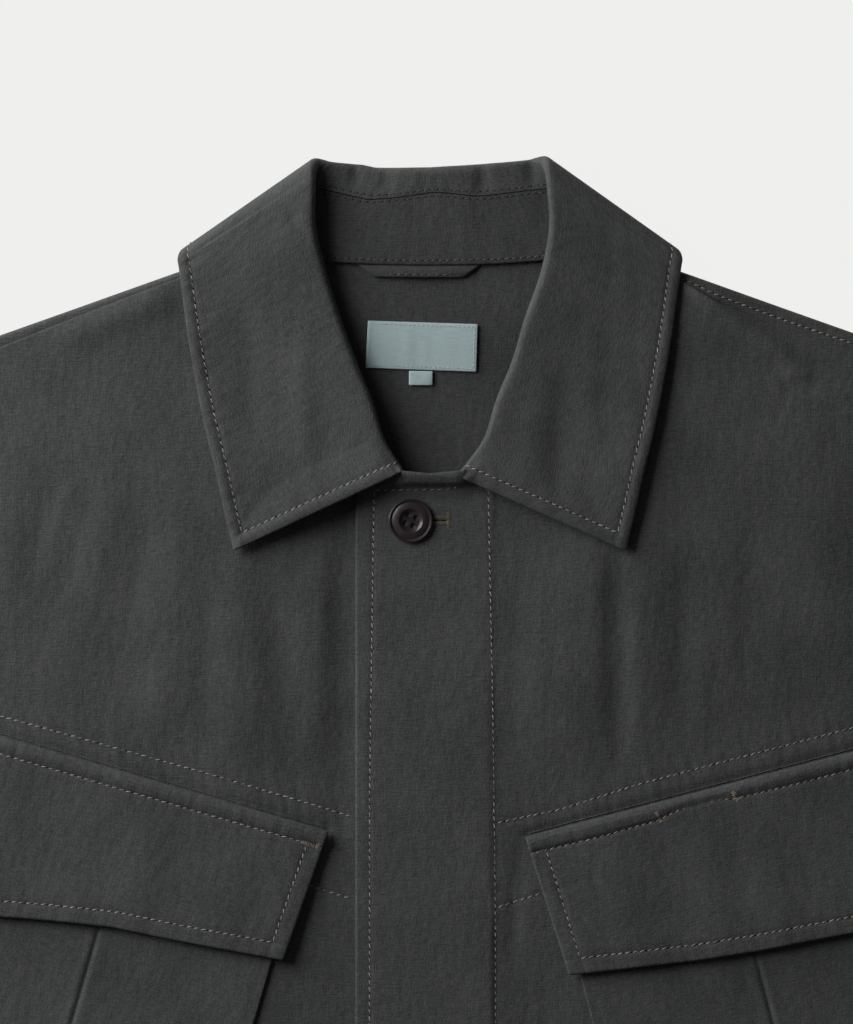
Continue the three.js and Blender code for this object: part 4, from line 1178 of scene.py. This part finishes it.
def cloth_grain(grid):
    across = np.cumsum(np.linalg.norm(np.diff(grid, axis=1, prepend=grid[:, :1]), axis=2), 1)
    along = np.cumsum(np.linalg.norm(np.diff(grid, axis=0, prepend=grid[:1]), axis=2), 0)
    return np.stack([np.broadcast_to(along.mean(1, keepdims=True), across.shape), across], -1)


# The stand takes the darker copy of the shell, painted shade inside the neck.
stand = cloth_piece("collar_stand", stand_grid, COLLAR, cloth_grain(stand_grid), SHADED_INSIDE, flip=True)
fall = cloth_piece("collar_fall", fall_grid, COLLAR, cloth_grain(fall_grid), SHELL, flip=True)

# %% [markdown]
# ## Chest pockets and flaps
#
# The pocket bag is a patch with a pleat down its middle. Its flap is sewn on above it, turned down and
# topstitched again, which leaves a soft rounded band along the fold. Both lie on the front's own surface.

# %% Pocket and flap shape
CORNERS = {-1: (46.0, -259.0), 1: (43.2, -261.4)}
SLOPES = {-1: math.radians(16.2), 1: math.radians(14.6)}
FLAP_LENGTH = 176.0
BAND = 7.2
FLAP_ROUND = 0.9
FLAP_DEPTHS = {
    # along the fold, depth: the wearer's left flap is the deeper one
    -1: np.array([(2, 62), (53, 67), (81, 69), (110, 74), (135, 79), (174, 82)]),
    1: np.array([(2, 66), (60, 74), (89, 76.8), (135, 79.7), (174, 82)]),
}
BOTTOM_INSET = 6.5
SIDE_INSET = 7.5
BAND_ROWS = {
    # along the fold, distance below it. The wearer's left flap has a pen slot, where the row bows up.
    -1: np.array([(0, 7.6), (60, 7.8), (176, 7.5)]),
    1: np.array([
        (0, 8.0), (30, 8.5), (60, 7.9), (68, 6.2), (78, 5.2), (90, 5.8), (97, 7.2), (130, 7.7), (176, 7.7)
    ]),
}
ROW_BELOW_BAND = 0.5
# The bag reaches between these places along and below the fold of its flap.
BAG_SIDES = (9, 167)
BAG_ENDS = (12, 168)
BAG_CORNER = 10
PLEAT = 88


def band_width(side, along):
    return np.interp(along, BAND_ROWS[side][:, 0], BAND_ROWS[side][:, 1]) - ROW_BELOW_BAND


def pocket_place(side, along, down):
    slope = SLOPES[side]
    x = CORNERS[side][0] + along * math.cos(slope) + down * math.sin(slope)
    y = CORNERS[side][1] + along * math.sin(slope) - down * math.cos(slope)
    return x * side, y


def laid_grid(side, along, down, height):
    x, y = pocket_place(side, along, down)
    return np.stack([x, y, front_top(x, y, side) + height], -1)


def flap_depth(side, along):
    return np.interp(along, FLAP_DEPTHS[side][:, 0], FLAP_DEPTHS[side][:, 1]) - FLAP_ROUND


def flap_skew(side, along, down):
    return along + down / flap_depth(side, along) * np.interp(along, [0, FLAP_LENGTH], [3.5, -2])


def flap_height(side, along, down):
    """Height of the middle of the flap's cloth over the front."""
    depth = flap_depth(side, along)
    width = band_width(side, along)
    in_band = down / width
    band = np.where(in_band < 1, 0.65 * np.sqrt(np.clip(1 - (2 * in_band - 1) ** 2, 0, 1)), 0)
    band_groove = -0.4 * bell(down - width, 1.2)
    bottom_groove = -0.25 * bell(depth - down - BOTTOM_INSET, 1.1)
    side_groove = -0.22 * bell(along - SIDE_INSET, 1.1) * smooth(BAND, BAND + 4, down)
    puckers = 0.14 * pucker_wave(along) * bell(down - BAND, 7)
    puckers += 0.12 * pucker_wave(along + 40) * bell(depth - down - BOTTOM_INSET, 6)
    puckers += 0.08 * pucker_wave(down) * bell(along - SIDE_INSET, 5)
    lifted = 1.3 * smooth(0.4, 1, down / depth)
    waves = 0.5 * ripple(along * 1.2, down, 52, 1.0) * smooth(0.1, 0.4, down / depth)
    drop = -0.9 * (1 - smooth(0, 3.4, down))
    base = SEAM_GAP + CLOTH + SEAM_GAP + FLAP / 2
    grooves = band_groove + bottom_groove + side_groove
    return base + band + grooves + puckers + lifted + np.maximum(waves, -0.5) + drop


def flap_grid(side):
    ends = (FLAP_ROUND, FLAP_LENGTH - FLAP_ROUND)
    along_steps = steps(*ends, 1.8, fine=[SIDE_INSET, FLAP_LENGTH - SIDE_INSET])
    down_steps = steps(0, 1, 0.026, fine=[BAND / 72, 1 - BOTTOM_INSET / 72], fine_step=0.010, reach=0.035)
    depth = flap_depth(side, along_steps)
    down = FLAP_ROUND + down_steps[:, None] * (depth - FLAP_ROUND)[None, :]
    along = np.broadcast_to(along_steps, down.shape)
    placed = flap_skew(side, along, down)
    return laid_grid(side, placed, down, flap_height(side, along, down)), np.stack([placed, -down], -1)


def flap_line(side, points):
    """A path on the flap's upper face through (along, down) points."""
    along, down = even_points(points, 1.2).T
    return laid_grid(side, flap_skew(side, along, down), down, flap_height(side, along, down) + FLAP / 2)


def bag_grid(side):
    along, down = np.meshgrid(steps(*BAG_SIDES, 2.6, fine=[PLEAT]), steps(*BAG_ENDS, 2.6))
    corner = BAG_CORNER * np.clip((down - BAG_ENDS[1] + BAG_CORNER) / BAG_CORNER, 0, 1) ** 2
    along = np.clip(along, BAG_SIDES[0] + corner, BAG_SIDES[1] - corner)
    pleat = -0.5 * bell(along - PLEAT, 1.0) + 0.25 * bell(np.abs(along - PLEAT) - 2.6, 1.6)
    return laid_grid(side, along, down, SEAM_GAP + CLOTH / 2 + 0.1 + pleat), np.stack([along, -down], -1)


flaps, bags = {}, {}
for side, name in ((1, "left"), (-1, "right")):
    grid, grain = bag_grid(side)
    bags[side] = cloth_piece(f"pocket_{name}", grid, CLOTH, grain, SHELL, flip=side > 0)
    grid, grain = flap_grid(side)
    flaps[side] = cloth_piece(f"flap_{name}", grid, FLAP, grain, SHELL, flip=side > 0)

# %% [markdown]
# ## Trim inside the back neck
#
# A hanging loop, a woven label and a size tab are sewn to the back panel. The label and tab are left blank.

# %% Make the trim
TRIM = 0.8
LOOP = [(-32, -1.2), (-25.9, -6.2), (15, -6.6), (22.4, -1.2)]
LABEL = [(-27.9, -26.9), (-29.0, -47.6), (20.7, -49.4), (21.4, -28.5)]
TAB = [(-9.2, -49.7), (-9.2, -55.5), (0.8, -55.5), (0.9, -49.9)]


def trim_patch(name, corners, material, replaces, rise=0.0, curl=0.0, step=1.0):
    """A patch laid on the back panel. Its corners run top left, bottom left, bottom right, top right."""
    top_left, low_left, low_right, top_right = (np.array(c, float) for c in corners)
    width, height = np.linalg.norm(low_right - low_left), np.linalg.norm(top_left - low_left)
    u = np.linspace(0, 1, int(width / step) + 2)[None, :, None]
    v = np.linspace(0, 1, int(height / step) + 2)[:, None, None]
    plan = mix(mix(low_left, low_right, u), mix(top_left, top_right, u), v)
    x, y = plan[..., 0], plan[..., 1]
    creases = np.maximum(ripple(x, y, 40, 0.10) * smooth(-150, -90, y), -0.15)
    base = back_underside(x, y) + CLOTH + creases
    bulge = rise * np.sin(math.pi * v[..., 0]) * np.ones_like(x)
    lifted_edge = curl * (1 - v[..., 0]) * np.sqrt(np.sin(math.pi * np.clip(u[..., 0], 0.001, 0.999)))
    wave = 0.12 * ripple(x * 1.5, y, 18, 1.0) * np.sin(math.pi * u[..., 0]) * np.sin(math.pi * v[..., 0])
    grid = np.stack([x, y, base + SEAM_GAP + TRIM / 2 + bulge + lifted_edge + wave], -1)
    finish(sheet_object(name, grid, TRIM, plan), material, replaces)
    return grid


# The loop takes the darker copy of the shell, painted shade inside the neck.
loop_grid = trim_patch("hanging_loop_strip", LOOP, SHADED_INSIDE, ["hanging_loop"], 0.5, 1.5, 0.6)
label_grid = trim_patch("neck_label_satin", LABEL, SATIN, ["neck_label"], 0.15)
trim_patch("size_tab_satin", TAB, SATIN, ["size_tab"], 0.1, 0.3)

# %% [markdown]
# ## Topstitching
#
# The rows lie on the finished surfaces. Those on the fronts are drawn between two points and read the
# cloth's height on the way. Those on the collar and flaps follow the edge at a fixed distance, as a presser
# foot does.

# %% Rows on the body
def row_on_front(side, points, step=1.5, rise=0.0):
    x, y = even_points(points, step).T
    return np.column_stack([x, y, front_top(x, y, side) + rise])


ON_PLACKET = ("placket_edge", "placket_inner", "neck_edge")
topstitch("stitches_placket", [row_on_front(1, SEAM_ROWS[name][3]) for name in ON_PLACKET], KHAKI_THREAD)
other_rows = [row for name, row in SEAM_ROWS.items() if name not in ON_PLACKET]
topstitch("stitches_fronts", [row_on_front(side, points) for side, *_, points in other_rows], KHAKI_THREAD)
SHOULDER_ROW = (112, 231)
strip_row = mix(STRIPS[1][-2], STRIPS[1][-1], 0.42) + (0, 0, CLOTH / 2)
sewn = (strip_row[:, 0] > SHOULDER_ROW[0]) & (strip_row[:, 0] < SHOULDER_ROW[1])
topstitch("stitches_shoulder", [strip_row[sewn]], KHAKI_THREAD)
CUFF_INSET = 14
before_top = BOTTOM_COUNT + len(EDGE_BULGE)
on_top = slice(before_top + 2, before_top + TOP_COUNT - 2)
cuff_rows = []
for side, rings in SLEEVE_RINGS.items():
    top = rings[-1, on_top]
    inward = unit(rings[-6, on_top] - top)
    cuff_rows.append(top + inward * CUFF_INSET + (0, 0, CLOTH / 2))
topstitch("stitches_cuffs", cuff_rows, KHAKI_THREAD)

# %% Rows on the collar
fall_surface = fall_grid - grid_normals(fall_grid) * (COLLAR / 2)
stand_surface = stand_grid - grid_normals(stand_grid) * (COLLAR / 2)
leaf_lengths = np.linalg.norm(fall_grid[:, ROLL_END:] - fall_grid[:, -1:], axis=2)


def inset_row(surface_grid, inset):
    """Points at a fixed distance in from the free edge, one for each station."""
    made = []
    for i in range(len(surface_grid)):
        lengths = leaf_lengths[i]
        k = np.searchsorted(-lengths, -inset)
        k = min(max(k, 1), len(lengths) - 1)
        t = (lengths[k - 1] - inset) / (lengths[k - 1] - lengths[k])
        a, b = surface_grid[i, ROLL_END + k - 1], surface_grid[i, ROLL_END + k]
        made.append(a + (b - a) * t)
    return np.array(made)


edge_row = inset_row(fall_surface, EDGE_INSET)
count = len(SAMPLES)
FOLDED_UNDER = 60
start_row = int(np.searchsorted(along_edge[:, 0], EDGE_INSET))
end_row = len(fall_surface) - 1 - start_row
collar_rows = [edge_row[start_row : count - FOLDED_UNDER], edge_row[FOLDED_UNDER - count : end_row + 1]]
for row in (start_row, end_row):
    leaf_line = fall_surface[row, ROLL_END - 5 :]
    inside = np.linalg.norm(leaf_line - leaf_line[-1], axis=1) > EDGE_INSET
    collar_rows.append(leaf_line[inside][::-1])
topstitch("stitches_collar", collar_rows, KHAKI_THREAD)
middle = slice(count - FOLDED_UNDER - 2, count + FOLDED_UNDER + 1)
# The stand's rows are in the darker copies of the khaki thread: painted shade inside the neck.
topstitch("stitches_stand_neck", [stand_surface[middle, 1]], SHADED_THREAD, size=STITCH_SIZE * 0.85)
seam_rows = [stand_surface[middle, -4], fall_surface[middle, 1]]
topstitch("stitches_stand_seam", seam_rows, DEEP_SHADE_THREAD, size=STITCH_SIZE * 0.72)
# Fine lines of tiny beads that paint the shadow in a crease. The first runs along the join of stand and fall.
SHADOW_LINE = {"pitch": 1.1, "tilt": 0.0, "jitter": 0.02}
seam_shadow_row = [stand_surface[middle, -1]]
stitch_object("stand_seam_painted_shadow", seam_shadow_row, PAINTED_BLACK_SHADE, size=(0.8, 0.26, 0.16), **SHADOW_LINE)

# %% Rows on the flaps
BAND_ROW_START = {-1: 10, 1: 2}
flap_rows, side_rows = [], []
for side in (-1, 1):
    ends = (SIDE_INSET, FLAP_LENGTH - SIDE_INSET)
    along = np.linspace(BAND_ROW_START[side], FLAP_LENGTH - 1.5, 60)
    flap_rows.append(flap_line(side, np.column_stack([along, band_width(side, along) + ROW_BELOW_BAND])))
    bottom = [(a, float(flap_depth(side, a)) - BOTTOM_INSET) for a in np.linspace(*ends, 24)]
    flap_rows.append(flap_line(side, bottom))
    for along in ends:
        lowest = float(flap_depth(side, along)) - BOTTOM_INSET
        side_rows.append(flap_line(side, [(along, BAND + 1.5), (along, lowest)]))
topstitch("stitches_flaps", flap_rows, KHAKI_THREAD)
topstitch("stitches_flap_sides", side_rows, KHAKI_THREAD)
# A dark line of tiny beads in the groove along each flap's fold: painted shadow in the crease where the flap
# is sewn on.
fold_shadow_lines = [row_on_front(side, points, 0.5, -0.3)[4:] for side, points in FLAP_FOLDS.items()]
stitch_object("flap_fold_painted_shadow", fold_shadow_lines, DEEP_SHADE_THREAD, size=(0.8, 0.22, 0.2), **SHADOW_LINE)

# %% [markdown]
# A bartack is a few stitches worked to and fro over one place. It holds the ends of the flap's band and of
# the pen slot. A buttonhole is worked the same way along both sides of its slit.

# %% Bartacks, buttonhole and border of the label
TACK = np.array([1.25, 0.30, 0.28])
TACK_PLACES = [
    # side, then two points along and down the flap: both ends of the pen slot, then the band's inner ends
    (1, [(61.5, 9.0), (60.5, 3.8)]),
    (1, [(98.0, 8.2), (96.5, 3.6)]),
    (1, [(0.9, BAND + 0.6), (6.5, BAND + 0.2)]),
    (-1, [(4.0, BAND + 1.0), (10.5, BAND + 0.8)]),
    (-1, [(2.2, BAND - 1.0), (2.8, BAND + 1.6)]),
]
tacks = [flap_line(side, points) for side, points in TACK_PLACES]
stitch_object("bartacks", tacks, BROWN_THREAD, pitch=0.55, size=TACK, tilt=math.pi / 2, jitter=0.12)
BUTTONHOLE = [
    # the upper edge, the lower edge and the bar across the end
    [(2.5, -116.1), (8.3, -116.1)],
    [(2.5, -118.7), (8.3, -118.7)],
    [(8.6, -113.5), (8.6, -120.8)],
]
SLIT = [(1.5, -117.4), (7.6, -117.4)]
hole_edges = [row_on_front(1, points, 0.5) for points in BUTTONHOLE]
stitch_object(
    "buttonhole_edges", hole_edges, SHADED_THREAD, pitch=0.5, size=TACK * 0.9, tilt=math.pi / 2, jitter=0.1
)
# The slit is a near-black bead: painted shade in the cut.
slit = [row_on_front(1, SLIT, 0.5)]
stitch_object("buttonhole_slit_painted_shade", slit, PAINTED_BLACK_SHADE, pitch=3.0, size=(2.0, 0.35, 0.12), tilt=0.0, jitter=0.0)
border = label_grid + (0, 0, TRIM / 2 + 0.02)
label_rows = [border[1, 1:-1], border[-2, 1:-1], border[1:-1, 1], border[1:-1, -2]]
stitch_object(
    "label_border", label_rows, PALE_THREAD, "label_cloth", pitch=2.0, size=STITCH_SIZE * 0.62, tilt=0.1
)
loop_row = loop_grid[2, 12:-12] + (0, 0, TRIM / 2)
# The loop's row is in the darker copy of the khaki thread: painted shade inside the neck.
topstitch("stitches_loop", [loop_row], SHADED_THREAD, size=STITCH_SIZE * 0.8)


def hole_shade_beads():
    """Small near-black beads between the stitches: painted shade in the holes where the needle went through.
    """
    centres = [along_path(np.asarray(path, float), PITCH)[0] for path in HOLE_PATHS]
    stitch_object("hole_shade_beads", centres, PAINTED_BLACK_SHADE, size=np.array([0.42, 0.36, 0.16]), tilt=0.0)


hole_shade_beads()

# %% [markdown]
# ## Neck button
#
# The button is turned from dark resin: a thin raised rim, a groove, a sloping ring and a dish with four
# holes. It is modelled as a cylinder whose top is inset and moved, ring by ring, with the holes cut by a
# Boolean.

# %% Make the button
BUTTON_AT = (-8.8, -117.5)
BUTTON_REST = front_top(*BUTTON_AT, 1) + 0.5
BUTTON_RADIUS, BUTTON_DEPTH = 10.0, 2.4
HOLE_RADIUS, HOLE_OFFSET = 1.3, 2.75
HOLE_ANGLES = (26, 116, 204, 294)
BUTTON_RINGS = [
    # width of each ring from the rim inward, and how far it rises
    (0.35, 0.28),
    (0.45, 0.0),
    (0.3, -0.55),
    (0.35, -0.1),
    (0.5, 0.25),
    (1.5, 0.45),
    (1.1, 0.1),
    (0.5, -0.35),
    (0.7, -0.75),
    (0.5, -0.1),
]


def apply_modifier(piece, modifier):
    bpy.context.view_layer.objects.active = piece
    bpy.ops.object.modifier_apply(modifier=modifier.name)


def make_button():
    bpy.ops.object.select_all(action="DESELECT")
    at = (0, 0, BUTTON_DEPTH / 2)
    bpy.ops.mesh.primitive_cylinder_add(vertices=72, radius=BUTTON_RADIUS, depth=BUTTON_DEPTH, location=at)
    button = bpy.context.object
    button.name = "neck_button_resin"
    bpy.ops.object.mode_set(mode="EDIT")
    bpy.ops.mesh.select_all(action="DESELECT")
    work = bmesh.from_edit_mesh(button.data)
    for face in work.faces:
        face.select_set(face.normal.z > 0.9)
    bmesh.update_edit_mesh(button.data)
    for width, rise in BUTTON_RINGS:
        bpy.ops.mesh.inset(thickness=width, use_even_offset=True)
        bpy.ops.transform.translate(value=(0, 0, rise))
    bpy.ops.object.mode_set(mode="OBJECT")
    cutters = []
    for angle in np.radians(HOLE_ANGLES):
        at = (HOLE_OFFSET * math.cos(angle), HOLE_OFFSET * math.sin(angle), 1.0)
        bpy.ops.object.select_all(action="DESELECT")
        bpy.ops.mesh.primitive_cylinder_add(vertices=20, radius=HOLE_RADIUS, depth=6, location=at)
        cutters.append(bpy.context.object)
    for cutter in cutters:
        cut = button.modifiers.new("hole", "BOOLEAN")
        cut.object, cut.operation, cut.solver = cutter, "DIFFERENCE", "EXACT"
        apply_modifier(button, cut)
        bpy.data.objects.remove(cutter)
    bevel = button.modifiers.new("soft edges", "BEVEL")
    bevel.width, bevel.segments, bevel.limit_method = 0.14, 2, "ANGLE"
    apply_modifier(button, bevel)
    points = np.array([v.co for v in button.data.vertices]) + (*BUTTON_AT, BUTTON_REST)
    for vertex, point in zip(button.data.vertices, in_frame(points)):
        vertex.co = point
    button.location = (0, 0, 0)
    bpy.ops.object.select_all(action="DESELECT")
    button.select_set(True)
    bpy.ops.object.shade_smooth_by_angle(angle=math.radians(35))
    return button


button = finish(make_button(), BUTTON_RESIN, ["neck_button"])
print("button faces", len(button.data.polygons))

# %% [markdown]
# ## Floor, light and camera
#
# The jacket lies on a plain pale surface under a large soft light from the upper left. The surface glows a
# little, which keeps its shadow faint, as a bright studio table does.

# %% Floor
def make_floor():
    bpy.ops.object.select_all(action="DESELECT")
    bpy.ops.mesh.primitive_plane_add(size=20, location=(0, 0, -0.0002))
    floor = bpy.context.object
    floor.name = "studio_table"
    material, _, shader = new_material("pale_table")
    set_inputs(shader, Base_Color=(0.008, 0.008, 0.008, 1), Roughness=0.9, Specular_IOR_Level=0.0)
    set_inputs(shader, Emission_Color=(0.863, 0.863, 0.848, 1), Emission_Strength=0.993)
    floor.data.materials.append(material)


make_floor()


# %% Light
def area_light(name, at, target, size, power):
    data = bpy.data.lights.new(name, "AREA")
    data.shape, data.size, data.energy = "SQUARE", size, power
    lamp = add_object(name, data)
    lamp.location = at
    lamp.rotation_euler = (Vector(target) - Vector(at)).to_track_quat("-Z", "Y").to_euler()


area_light("window_light", at=(-1.38, 1.0, 0.68), target=(0, 0.22, 0), size=1.3, power=64)
world = bpy.data.worlds.new("studio")
world.use_nodes = True
set_inputs(world.node_tree.nodes["Background"], Color=(1.0, 1.0, 1.0, 1), Strength=0.08)
bpy.context.scene.world = world
bpy.context.scene.view_settings.view_transform = "Standard"

# %% Camera
PICTURE_HEIGHT, PIXELS_PER_MM = 1024, 2.2
PICTURE_CENTRE = (-1.6, -113.6)
CAMERA_HEIGHT = 3000.0
GARMENT_LEVEL = 8.0
SENSOR = 36.0
camera_data = bpy.data.cameras.new("overhead")
camera_data.sensor_fit = "VERTICAL"
camera_data.sensor_height = SENSOR
camera_data.lens = SENSOR * (CAMERA_HEIGHT - GARMENT_LEVEL) / (PICTURE_HEIGHT / PIXELS_PER_MM)
camera = add_object("overhead", camera_data)
camera.location = in_frame((*PICTURE_CENTRE, CAMERA_HEIGHT))
bpy.context.scene.camera = camera
